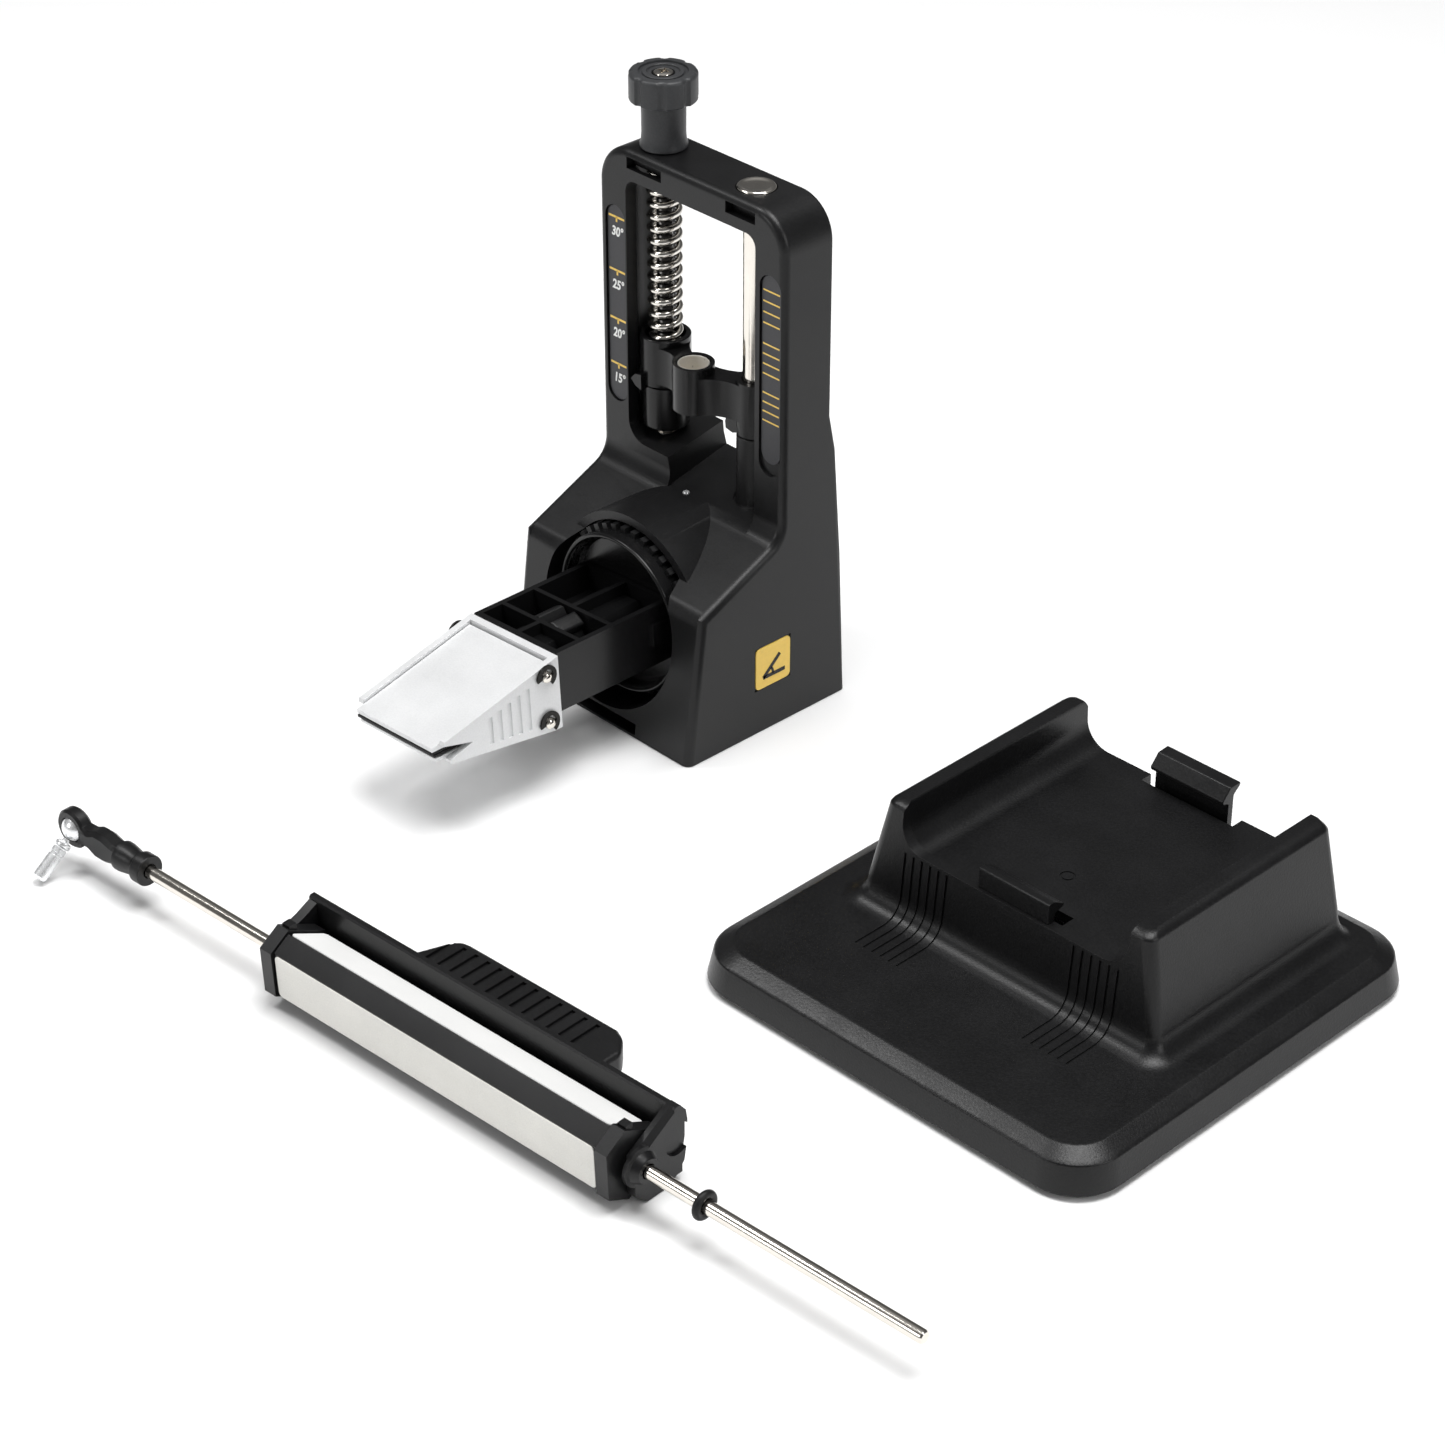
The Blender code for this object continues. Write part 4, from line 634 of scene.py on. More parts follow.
def lobedOutline(radius, depth, lobes, count=16, phase=0.0):
    points = []
    for i in range(lobes * count):
        a = 2 * math.pi * i / (lobes * count)
        wave = math.cos(a * lobes + phase)
        dip = max(0.0, wave - 0.55) / 0.45
        points.append(((radius - depth * dip) * math.cos(a), (radius - depth * dip) * math.sin(a)))
    return points


def buildKnob():
    k = knob
    x, y = k["x"], k["y"]
    head = slab(
        "angleKnob",
        [(x + u, y + v) for u, v in lobedOutline(k["radius"], 0.8, k["lobes"], 12)],
        k["head"], k["top"],
    )
    roundEdges(head, lambda m: m.z > k["top"] - 0.1, 1.3, 4)
    roundEdges(head, lambda m: m.z < k["head"] + 0.1, 0.8, 3)
    carve(head, post("dish", 7.6, k["top"] - 0.7, k["top"] + 1, "Z", (x, y, 0), 64))
    fuse(
        head,
        lathe(
            "ring",
            [
                (6.2, k["top"] - 0.1), (6.4, k["top"] - 0.3), (6.4, k["top"] - 1.2), (5.0, k["top"] - 1.2),
                (5.0, k["top"] - 0.3), (5.2, k["top"] - 0.1),
            ],
            "Z", (x, y, 0), 64,
        ),
    )
    neck = lathe(
        "neck",
        [
            (0, k["head"] + 1), (k["neck"], k["head"] + 1), (k["neck"] - 0.1, 176), (k["neck"] + 0.1, 173.2),
            (k["neck"] + 0.5, 172.6), (k["neck"] + 0.5, k["foot"] + 0.2), (k["neck"], k["foot"]),
            (0, k["foot"]),
        ],
        "Z", (x, y, 0), 64,
    )
    fuse(head, neck)
    carve(
        head,
        post("recess", 3.6, k["top"] - 2.4, k["top"] + 1, "Z", (x, y, 0), 48),
        post("bore", 2.8, k["foot"] - 1, k["top"] - 5, "Z", (x, y, 0), 32),
    )
    soften(head, 0.2, 2, 40)
    settle(head, towerFrame, "knob", "knobGrey", ["angle_knob"])
    cap = lathe(
        "knobScrew",
        [
            (0, k["top"] - 0.1), (2.2, k["top"] - 0.2), (2.9, k["top"] - 0.5), (3.1, k["top"] - 0.9),
            (3.1, k["top"] - 2.3), (1.5, k["top"] - 2.3), (1.5, k["top"] - 5.5), (0, k["top"] - 5.5),
        ],
        "Z", (x, y, 0), 48,
    )
    for turn in (20, 110):
        cutter = brick("cross", (-1.7, -0.4, k["top"] - 1.1), (1.7, 0.4, k["top"] + 1))
        cutter.data.transform(
            Matrix.Translation((x * mm, y * mm, 0)) @ Matrix.Rotation(math.radians(turn), 4, "Z")
        )
        carve(cap, cutter)
    settle(cap, towerFrame, "knob", "nickelBright", ["knob_screw"])
    lead = lathe(
        "leadScrew",
        [(0, 188.8), (2.4, 188.8), (2.5, 188.5), (2.5, 70), (1.5, 69), (0, 69)],
        "Z", (x, y, 0), 48,
    )
    settle(lead, towerFrame, "knob", makeThread("leadThread", "darkSteel", 1.5, "Z"), ["lead_screw"])
    washer = lathe(
        "footWasher",
        [(3.5, 77), (3.8, 76.8), (3.8, 76.2), (3.2, 75.9), (3.6, 75.6), (3.6, 75.3), (2.8, 75.3), (2.8, 77)],
        "Z", (x, y, 0), 48,
    )
    settle(washer, towerFrame, "tower", "nickelBright", ["foot_washer"])


spring = {"wire": 1.1, "radius": 4.5, "pitch": 4.1, "flatTurns": 1.0, "perTurn": 28}


def buildSpring():
    low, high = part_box("lift_spring")
    wire, radius, perTurn = spring["wire"], spring["radius"], spring["perTurn"]
    bottom, top = low.z / mm + wire, high.z / mm - wire
    turns, closing = (top - bottom) / spring["pitch"], spring["flatTurns"]
    points = []
    count = int((turns + 2 * closing) * perTurn)
    for i in range(count + 1):
        turn = i / perTurn
        if turn < closing:
            z = bottom + 0.3 * turn
        elif turn > turns + closing:
            z = top - 0.3 * (turns + 2 * closing - turn)
        else:
            z = bottom + 0.3 + (top - bottom - 0.6) * (turn - closing) / turns
        a = 2 * math.pi * turn
        points.append((radius * math.cos(a), radius * math.sin(a), z))
    curve = bpy.data.curves.new("liftSpring", "CURVE")
    curve.dimensions = "3D"
    curve.bevel_depth = wire * mm
    curve.bevel_resolution = 4
    curve.use_fill_caps = True
    spline = curve.splines.new("POLY")
    spline.points.add(len(points) - 1)
    for point, place in zip(spline.points, points):
        point.co = (place[0] * mm, place[1] * mm, place[2] * mm, 1)
    coil = bpy.data.objects.new("liftSpring", curve)
    bpy.context.scene.collection.objects.link(coil)
    activate(coil)
    bpy.ops.object.convert(target="MESH")
    coil = bpy.context.object
    coil.data.transform(Matrix.Translation((tower["screwX"] * mm, tower["columnMid"] * mm, 0)))
    tidyMesh(coil)
    settle(coil, towerFrame, "tower", "springSteel", ["lift_spring"], 60)
    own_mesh(coil)


def buildGuide():
    place = (tower["guideX"], tower["columnMid"], 0)
    shaft = lathe(
        "guideRod",
        [(0, 168.2), (3.6, 168.2), (4.0, 167.8), (4.0, 70.8), (3.5, 70.3), (0, 70.3)],
        "Z", place, 64,
    )
    settle(shaft, towerFrame, "tower", "nickelBright", ["guide_rod"])
    disc = [
        (0, 171.1), (3.6, 171.15), (4.6, 171.4), (5.1, 171.6), (5.5, 171.6), (5.9, 171.3), (6.0, 171.0),
        (6.0, 168.8), (0, 168.8),
    ]
    cap = lathe("guideCap", disc, "Z", place, 96)
    settle(cap, towerFrame, "tower", "nickelBright", ["guide_cap"])


carriage = {"cupLow": 93.0, "high": 109.2, "socketY": 7.0, "socketTop": 110.0, "socketLow": 94.7}


def hollowBetween(first, firstRadius, second, secondRadius, radius, side):
    # the arc that touches two round tubes, on the given side of the line between them
    a, b = Vector(first), Vector(second)
    reachA, reachB, gap = firstRadius + radius, secondRadius + radius, (b - a).length
    along = (reachA**2 - reachB**2 + gap**2) / (2 * gap)
    way = (b - a) / gap
    centre = a + way * along + Vector((-way.y, way.x)) * side * math.sqrt(reachA**2 - along**2)
    start = math.degrees(math.atan2(*(a - centre).yx))
    end = math.degrees(math.atan2(*(b - centre).yx))
    turn = (end - start + 180) % 360 - 180
    return arc(centre, radius, start, start + turn, 12)


def buildCarriage():
    c, x, y = carriage, tower["screwX"], tower["columnMid"]
    cup, socket, guide = (x, y), (0, c["socketY"]), (tower["guideX"], y)
    cupProfile = [
        (0, c["high"]), (7.7, c["high"]), (8.0, c["high"] - 0.3), (8.0, c["cupLow"] + 0.6),
        (7.7, c["cupLow"]), (7.0, c["cupLow"] - 0.4), (0, c["cupLow"] - 0.4),
    ]
    body = lathe("carriage", cupProfile, "Z", (x, y, 0), 72)
    # the web runs from the cup round the socket and on to the guide tube in one smooth wave
    front = hollowBetween(cup, 8.0, socket, 6.5, 9.5, -1) + hollowBetween(socket, 6.5, guide, 6.1, 13, -1)
    rear = hollowBetween(socket, 6.5, guide, 6.1, 16, 1)
    back = [(guide[0], guide[1])] + list(reversed(rear)) + list(
        reversed(hollowBetween(cup, 8.0, socket, 6.5, 16, 1))
    ) + [cup]
    web = slab("web", front + back, c["socketLow"], c["high"] - 2.2)
    fuse(body, web, post("socketTube", 6.5, c["socketLow"], c["socketTop"], "Z", (0, c["socketY"], 0), 72))
    fuse(body, post("guideTube", 6.1, 92.7, 108.0, "Z", (guide[0], y, 0), 64))
    fuse(body, post("guideSkirt", 5.8, 90.0, 93.5, "Z", (guide[0], y, 0), 64))
    pointer = slab(
        "pointer",
        [(x - 1, 91.9), (x - 1, 97.1), (x - 3.6, 96.6), (x - 5.6, 94.5), (x - 3.6, 92.6)],
        6.1, 11, "Y",
    )
    rightPointer = slab(
        "rightPointer",
        [(10.5, 90.2), (13.5, 89.6), (16, 90.6), (16, 95), (11, 95), (10.2, 92.5)],
        10.4, 13.2, "Y",
    )
    fuse(body, pointer, rightPointer)
    carve(
        body,
        post("cupBore", 6.4, c["cupLow"] + 3, c["high"] + 1, "Z", (x, y, 0), 56),
        post("sleeveBore", 6.1, c["cupLow"] - 2, c["high"], "Z", (x, y, 0), 56),
        post("socketBore", 5.3, c["socketLow"] + 1.5, 113, "Z", (0, c["socketY"], 0), 56),
        post("guideBore", 4.3, 86, 112, "Z", (guide[0], y, 0), 48),
    )
    soften(body, 0.35, 3, 40)
    settle(body, towerFrame, "carriage", "smoothBlack", ["carriage"])
    sleeveProfile = [
        (7.45, 92.5), (7.45, 78.8), (7.1, 78.2), (6.6, 78.0), (2.8, 78.0), (2.8, 79), (6.05, 79.0),
        (6.05, 92.5),
    ]
    settle(
        lathe("carriageSleeve", sleeveProfile, "Z", (x, y, 0), 72), towerFrame, "carriage", "smoothBlack",
    )
    bushProfile = [
        (5.0, 109.5), (4.8, 109.8), (4.6, 109.7), (4.5, 109.4), (4.5, 98.0), (0.6, 97.4), (0.6, 96.5),
        (5.0, 96.5),
    ]
    bushing = lathe("socketBushing", bushProfile, "Z", (0, c["socketY"], 0), 64)
    settle(bushing, towerFrame, "carriage", "bushBright", ["socket_bushing"])
    keepNode("carriage_nut", "turnedBrass")


buildHousing()
buildScales()
buildBadge()
buildCover()
buildKnob()
buildSpring()
buildGuide()
buildCarriage()
print("tower ready")


# Clamp
clamp = {"drum": 28.4, "rim": 24.6, "front": -26.0, "floor": -20.0, "back": 8.5, "teeth": 40}
arm = {
    "half": 19.0, "tall": 10.0, "front": -66.7, "back": -20.3, "wall": 2.0, "bayFront": -55.6,
    "bayBack": -44.4,
}
jaws = {
    "rear": -67.0, "nose": -112.0, "half": 17.5, "cheek": 20.0, "mouth": -5.25, "tip": -115.0, "flutes": 5,
    "firstFlute": -79.6, "flutePitch": 3.7,
}


def buildDrum():
    c = clamp
    drumProfile = [
        (0, 17.0), (7.6, 17.0), (8.0, 16.6), (8.0, c["back"]), (c["drum"], c["back"]), (c["drum"], -17.5),
    ]
    drumProfile += [(26.5, -17.5), (26.5, c["front"] + 1.0)] + arc(
        (25.75, c["front"] + 0.8), 0.75, 0, -180, 8
    )
    drumProfile += [
        (c["rim"], c["front"] + 1.2), (c["rim"] - 0.3, c["floor"] - 1), (c["rim"] - 1.3, c["floor"]),
        (0, c["floor"]),
    ]
    drum = lathe(
        "clampDrum",
        drumProfile,
        "Y",
        (0, 0, 0),
        128,
    )
    teeth = []
    for index in range(c["teeth"]):
        tooth = brick("tooth", (-1.05, -21.4, 26.0), (1.05, -17.2, 28.3))
        tooth.data.transform(Matrix.Rotation(2 * math.pi * index / c["teeth"], 4, "Y"))
        teeth.append(tooth)
    settle(drum, clampFrame, "clamp", "smoothBlack", ["clamp_drum"])
    settle(merged("drumTeeth", teeth), clampFrame, "clamp", "mouldedBlack")
    for node in ("spindle_washer", "spindle_screw"):
        keepNode(node, "steelPlain")


def buildArm():
    a = arm
    w, h, inner = a["half"], a["tall"], a["half"] - a["wall"]
    body = brick("clampArm", (-w, a["front"], -h), (w, a["back"], h))
    for low, high in ((a["front"] + 1.8, a["bayFront"] - 1.6), (a["bayBack"] + 1.6, a["back"] - 1.8)):
        for side in (-1, 1):
            for way in (-1, 1):
                x = sorted((side * 0.9, side * inner))
                z = sorted((way * 1.2, way * (h + 1)))
                carve(body, brick("cell", (x[0], low, z[0]), (x[1], high, z[1])))
    carve(body, brick("bay", (-inner, a["bayFront"], -h - 1), (inner, a["bayBack"], h + 1)))
    for low, high in ((a["front"] + 0.6, a["bayFront"] - 0.5), (a["bayBack"] + 0.5, a["back"] - 3)):
        boss = post("boss", 9.3, low, high, "Y", (0, 0, 0), 64)
        carve(
            boss, brick("bossTrim", (-12, low - 1, 6.2), (12, high + 1, 12)),
            brick("bossTrim", (-12, low - 1, -12), (12, high + 1, -6.2)),
        )
        fuse(body, boss)
        fuse(body, brick("spine", (-0.8, low, -h + 0.8), (0.8, high, h - 0.8)))
    carve(body, post("screwBore", 2.4, a["front"] - 1, a["back"] - 3, "Y", (0, 0, 0), 32))
    soften(body, 0.3, 2, 40)
    settle(body, clampFrame, "clamp", "smoothBlack", ["clamp_arm"])
    tab = brick("armTab", (w - 0.3, -28.8, -3.2), (w + 0.9, -25.0, 4.4))
    hookPart = brick("tabHook", (w - 0.3, -25.2, 3.0), (w + 0.9, -20.6, 4.4))
    fuse(tab, hookPart)
    soften(tab, 0.2, 2)
    settle(tab, clampFrame, "clamp", "smoothBlack")


def buildWheel():
    a = arm
    middle = (a["bayFront"] + a["bayBack"]) / 2
    outline = []
    for index in range(6):
        base = 60 * index
        outline += arc((0, 0), 10.4, base - 15, base + 15, 6) + arc((0, 0), 7.2, base + 22, base + 38, 4)
    wheel = slab("thumbwheel", outline, middle - 5, middle + 5, "Y")
    roundEdges(wheel, lambda m: math.hypot(m.x, m.z) > 9.5, 0.8, 3)
    carve(wheel, post("wheelBore", 2.4, middle - 8, middle + 8, "Y", (0, 0, 0), 32))
    soften(wheel, 0.3, 2, 40)
    settle(wheel, clampFrame, "wheel", "mouldedBlack", ["thumbwheel"])
    screw = lathe(
        "clampScrew", [(0, -25.5), (2.1, -25.5), (2.1, -72.2), (1.7, -72.6), (0, -72.6)], "Y", (0, 0, 0), 48
    )
    settle(
        screw, clampFrame, "wheel", makeThread("clampThread", "steelPlain", 1.0, "Y"),
        ["clamp_screw"],
    )


def sloped(y, start, end):
    share = (jaws["rear"] - y) / (jaws["rear"] - jaws["nose"])
    return start + (end - start) * share


def buildJawHousing():
    j = jaws
    rear, nose, mouth = j["rear"], j["nose"], j["mouth"]
    outline = [
        (rear, -14.7), (rear, 9.7), (nose, mouth + 4.4), (nose - 0.4, mouth + 3.1), (
            nose + 10.5, mouth + 0.2
        ),
        (nose + 1.6, mouth - 2.4), (nose + 2.1, mouth - 3.75), (rear - 3, -14.7),
    ]
    fork = slab("jawHousing", outline, -j["cheek"], j["cheek"], "X")
    slot = brick("forkSlot", (-j["half"] - 0.3, nose - 3, -16), (j["half"] + 0.3, rear - 2.2, 12))
    carve(fork, slot, post("forkBore", 2.4, rear - 4, rear + 1, "Y", (0, 0, 0), 32))
    for z in (5.0, -10.8):
        carve(fork, post("pinHole", 1.8, -22, 22, "X", (0, -72.3, z), 32))
    # upright flutes on both cheeks, shorter towards the nose
    for index in range(j["flutes"]):
        y = j["firstFlute"] - j["flutePitch"] * index
        top = sloped(y, 9.7, mouth + 4.4) - 3.2
        bottom = max(sloped(y, -14.7, mouth - 3.75) + 2.3, -11.5 + 0.15 * index)
        for side in (-1, 1):
            carve(fork, post("flute", 0.85, bottom, top, "Z", (side * (j["cheek"] - 0.05), y, 0), 20))
    soften(fork, 0.3, 3, 32)
    settle(fork, clampFrame, "clamp", "castAluminium", ["jaw_housing"])


def buildJaws():
    j = jaws
    rear, tip, mouth = -69.9, j["tip"], j["mouth"]
    top = [(y, sloped(y, 9.7, mouth + 4.4) - 1.1) for y in (rear, tip)]
    upper = [
        top[0], top[1], (tip, mouth + 1.25), (tip + 17, mouth + 1.25), (tip + 25, 0.2), (rear - 7, 2.8),
        (rear, 2.8),
    ]
    bottom = [(y, sloped(y, -14.7, mouth - 3.75) + 1.3) for y in (rear, tip + 1)]
    lower = [
        bottom[0], (rear, -7.3), (tip + 25, -7.3), (tip + 17, mouth - 1.25), (tip + 1, mouth - 1.25),
        bottom[1],
    ]
    for name, outline, z in (("upper", upper, 5.0), ("lower", lower, -10.8)):
        jaw = slab(f"{name}Jaw", outline, -j["half"], j["half"], "X")
        carve(jaw, post("jawHole", 1.8, -20, 20, "X", (0, -72.3, z), 32))
        soften(jaw, 0.35, 3, 25)
        settle(jaw, clampFrame, f"{name}_jaw", "castAluminium", [f"{name}_jaw"])
    for name, low, high, reach in (
        ("upper", mouth + 0.15, mouth + 1.05, tip - 0.3), ("lower", mouth - 1.05, mouth - 0.15, tip + 0.9)
    ):
        pad = brick(f"{name}Pad", (0.3 - j["half"], reach, low), (j["half"] - 0.3, tip + 12, high))
        soften(pad, 0.2, 3)
        settle(pad, clampFrame, f"{name}_jaw", "softRubber", [f"{name}_pad"])
    for name, z in (("upper", 5.0), ("lower", -10.8)):
        profile = [
            (0, 22.0), (0.8, 21.95), (1.5, 21.6), (1.85, 21.2), (1.85, 21.05), (1.5, 20.95), (1.5, 20.3),
        ]
        pin = lathe(f"{name}Pin", profile + [(r, -h) for r, h in reversed(profile)], "X", (0, -72.3, z), 40)
        settle(pin, clampFrame, "clamp", "nickelBright", [f"{name}_pin"])
        for side, label in ((-1, "left"), (1, "right")):
            ring = arc((-72.3, z), 3.8, -60, 195, 28) + arc((-72.3, z), 1.75, 195, 150, 4)
            ring += arc((-72.3, z), 2.4, 135, 0, 12) + arc((-72.3, z), 1.75, -15, -60, 4)
            low, high = sorted((side * 20.3, side * 20.95))
            clip = slab(f"{name}{label.capitalize()}Clip", ring, low, high, "X")
            soften(clip, 0.12, 2, 40)
            settle(clip, clampFrame, "clamp", "clipDark", [f"{name}_{label}_clip"])
    keepNode("jaw_wedge", "steelPlain")


buildDrum()
buildArm()
buildWheel()
buildJawHousing()
buildJaws()
print("clamp ready")


# Stand
footSpots = ((-56, -56), (56, -56), (-56, 56), (56, 56))
stand = {
    "half": 73.5, "corner": 16.0, "skirt": 10.5, "plateau": 13.0, "front": -19.0, "back": 59.5, "floor": 33.5,
    "top": 48.5, "inner": 41.0, "outer": 48.0, "fillet": 7.0, "firstGroove": 23.2, "groovePitch": 3.14,
}


def frontProfile():
    # the line down the pedestal's front, over the fillet and on to the flat top
    s = stand
    foot = s["front"] - 2.4
    line = [(s["front"] - 1.05, s["floor"] + 0.5), (foot, s["plateau"] + s["fillet"])]
    line += arc((foot - s["fillet"], s["plateau"] + s["fillet"]), s["fillet"], 0, -90, 10)[1:]
    return line + [(-39.9, s["plateau"])]


def level(shape, half, front, back, radius, z, count=10):
    points = []
    for x, y, start in ((half, back, 0), (-half, back, 90), (-half, front, 180), (half, front, 270)):
        centre = (x - math.copysign(radius, x), y - (radius if start < 180 else -radius))
        points += [
            shape.verts.new((u * mm, v * mm, z * mm)) for u, v in arc(
                centre, radius, start, start + 90, count
            )
        ]
    return points


def loft(name, levels):
    shape = bmesh.new()
    rings = [level(shape, *one) for one in levels]
    size = len(rings[0])
    for lower, upper in zip(rings, rings[1:]):
        for i in range(size):
            j = (i + 1) % size
            shape.faces.new((lower[i], lower[j], upper[j], upper[i]))
    shape.faces.new(reversed(rings[0]))
    shape.faces.new(rings[-1])
    mesh = bpy.data.meshes.new(name)
    shape.to_mesh(mesh)
    shape.free()
    obj = bpy.data.objects.new(name, mesh)
    bpy.context.scene.collection.objects.link(obj)
    tidyMesh(obj)
    return obj


def buildStand():
    s = stand
    h, top = s["half"], s["top"]
    levels = [
        (h - 0.6, 0.6 - h, h - 0.6, 15.4, 1.2), (h, -h, h, 16, 1.9), (
            h - 1.4, 1.4 - h, h - 1.4, 15.5, 10.0
        ), (h - 1.8, 1.8 - h, h - 1.8, 15.3, 10.5), (h - 2.6, 2.6 - h, h - 2.6, 15, 10.95),
        (67.2, -67.2, 67.2, 11.5, 12.8), (66.4, -66.4, 66.4, 11, 13.0),
    ]
    half, front, back = s["outer"] + 5.6, s["front"] - 2.4, s["back"] + 1.2
    for index in range(11):
        a = math.radians(9 * index)
        out, up = s["fillet"] * (1 - math.sin(a)), s["fillet"] * (1 - math.cos(a))
        levels.append((half + out, front - out, back + out / 2, 3.5 + out * 0.7, s["plateau"] + up))
    levels.append((s["outer"] + 0.2, s["front"] - 0.1, s["back"] + 0.1, 3.6, top - 2.4))
    levels.append((s["outer"] - 0.3, s["front"] + 0.6, s["back"] - 0.4, 3.4, top - 1.6))
    levels.append((s["outer"] - 2.2, s["front"] + 3.0, s["back"] - 1.6, 2.4, top))
    body = loft("standBody", levels)
    neck = s["outer"] - 1.5
    cavity = [
        (h - 4, 4 - h, h - 4, 12, -1), (h - 4, 4 - h, h - 4, 12, s["skirt"] - 3),
        (neck, s["front"] + 2, s["back"] - 3, 4, s["plateau"] - 1), (
            neck - 3, s["front"] + 3, s["back"] - 3.5, 4, s["floor"] - 3
        ),
    ]
    carve(body, loft("hollow", cavity))
    lip, r, w = s["floor"] + 1.3, 8.0, s["inner"]
    cradle = [(w + 0.6, top + 1), (-w - 0.6, top + 1), (-w - 0.4, top), (-w, top - 0.8)]
    cradle += arc(
        (r - w, lip + r), r, 180, 270, 12
    ) + arc((w - r, lip + r), r, 270, 360, 12) + [(w, top - 0.8), (w + 0.4, top)]
    step = s["front"] + 2.6
    carve(body, slab("cradleCut", cradle, s["front"] - 6, step, "Y"))
    low = s["floor"] + r
    bed = cradle[:4] + arc((r - w, low), r, 180, 270, 12) + arc((w - r, low), r, 270, 360, 12) + cradle[-2:]
    carve(body, slab("bedCut", bed, step, s["back"] + 6, "Y"))
    carve(body, brick("latchSlot", (-16.7, 55.8, 22.2), (16.7, s["back"] + 6, top + 1)))
    soften(body, 0.35, 2, 42)
    carve(body, brick("hookHole", (-14.5, s["front"] + 3.2, 24), (14.5, s["front"] + 8.8, s["floor"] + 1)))
    carve(body, lathe("ringMark", [(2.3, 34.5), (2.3, 33.2), (1.6, 33.2), (1.6, 34.5)], "Z", (0, 4, 0), 40))
    wall = s["front"]
    hook = slab(
        "frontHook",
        [
            (wall, 31), (wall, 41.0), (wall + 0.3, 41.3), (wall + 2.4, 41.3), (wall + 6.4, 39.0),
            (wall + 6.1, 38.2), (wall + 2.6, 37.4), (wall + 2.6, 31),
        ],
        -12.8, 12.8, "X",
    )
    soften(hook, 0.3, 2)
    fuse(body, hook)
    line = frontProfile()
    for x in [side * (s["firstGroove"] + s["groovePitch"] * k) for side in (-1, 1) for k in range(6)]:
        band = [
            (y + 0.45, z - 0.15) for y, z in line[:2]
        ] + offset(line[2:-1], 0.42) + [(line[-1][0], line[-1][1] - 0.4)]
        band += [(line[-1][0], line[-1][1] + 1)] + [
            (-33, 15.5), (-27.5, 18), (-23.6, 25), (line[0][0] - 2, line[0][1]),
        ]
        carve(body, slab("groove", band, x - 0.42, x + 0.42, "X"))
    for x, y in footSpots:
        fuse(body, post("footSeat", 7, 2.5, 12, "Z", (x, y, 0), 40))
    settle(body, standFrame, "stand", "standBlack", ["stand_body"], 42)


def offset(line, depth):
    # pushes the fillet's points into the solid, away from the fillet's own centre
    s = stand
    centre = (s["front"] - 2.4 - s["fillet"], s["plateau"] + s["fillet"])
    pushed = []
    for y, z in line:
        away = Vector((y - centre[0], z - centre[1])).normalized()
        pushed.append((y + away.x * depth, z + away.y * depth))
    return pushed


def buildStandTrim():
    s = stand
    back, front = s["back"] + 0.6, s["back"] - 1.9
    outline = [
        (front, 22.5), (front, 38.3), (front - 2.5, 39.2), (front - 2.6, 40.2), (front + 0.6, 43.8),
        (back + 2.2, 44.0), (back + 2.8, 43.4), (back + 2.4, 42.6), (back, 40.6), (back, 22.5),
    ]
    latch = slab("rearLatch", outline, -13.3, 13.3, "X")
    soften(latch, 0.35, 3, 25)
    settle(latch, standFrame, "latch", "standBlack", ["rear_latch"])
    for index, (x, y) in enumerate(footSpots, 1):
        foot = lathe(
            f"foot{index}",
            [(0, 2.2), (6, 2.2), (6, 0.5), (5.5, 0.0), (3.2, 0.0), (2.8, 0.4), (0, 0.4)],
            "Z", (x, y, 0), 48,
        )
        settle(foot, standFrame, "stand", "softRubber", [f"foot_{index}"])


buildStand()
buildStandTrim()
print("stand ready")


# Guide rod
guideRod = {"radius": 2.0, "length": 292.0, "eye": -33.5, "ball": 4.2}


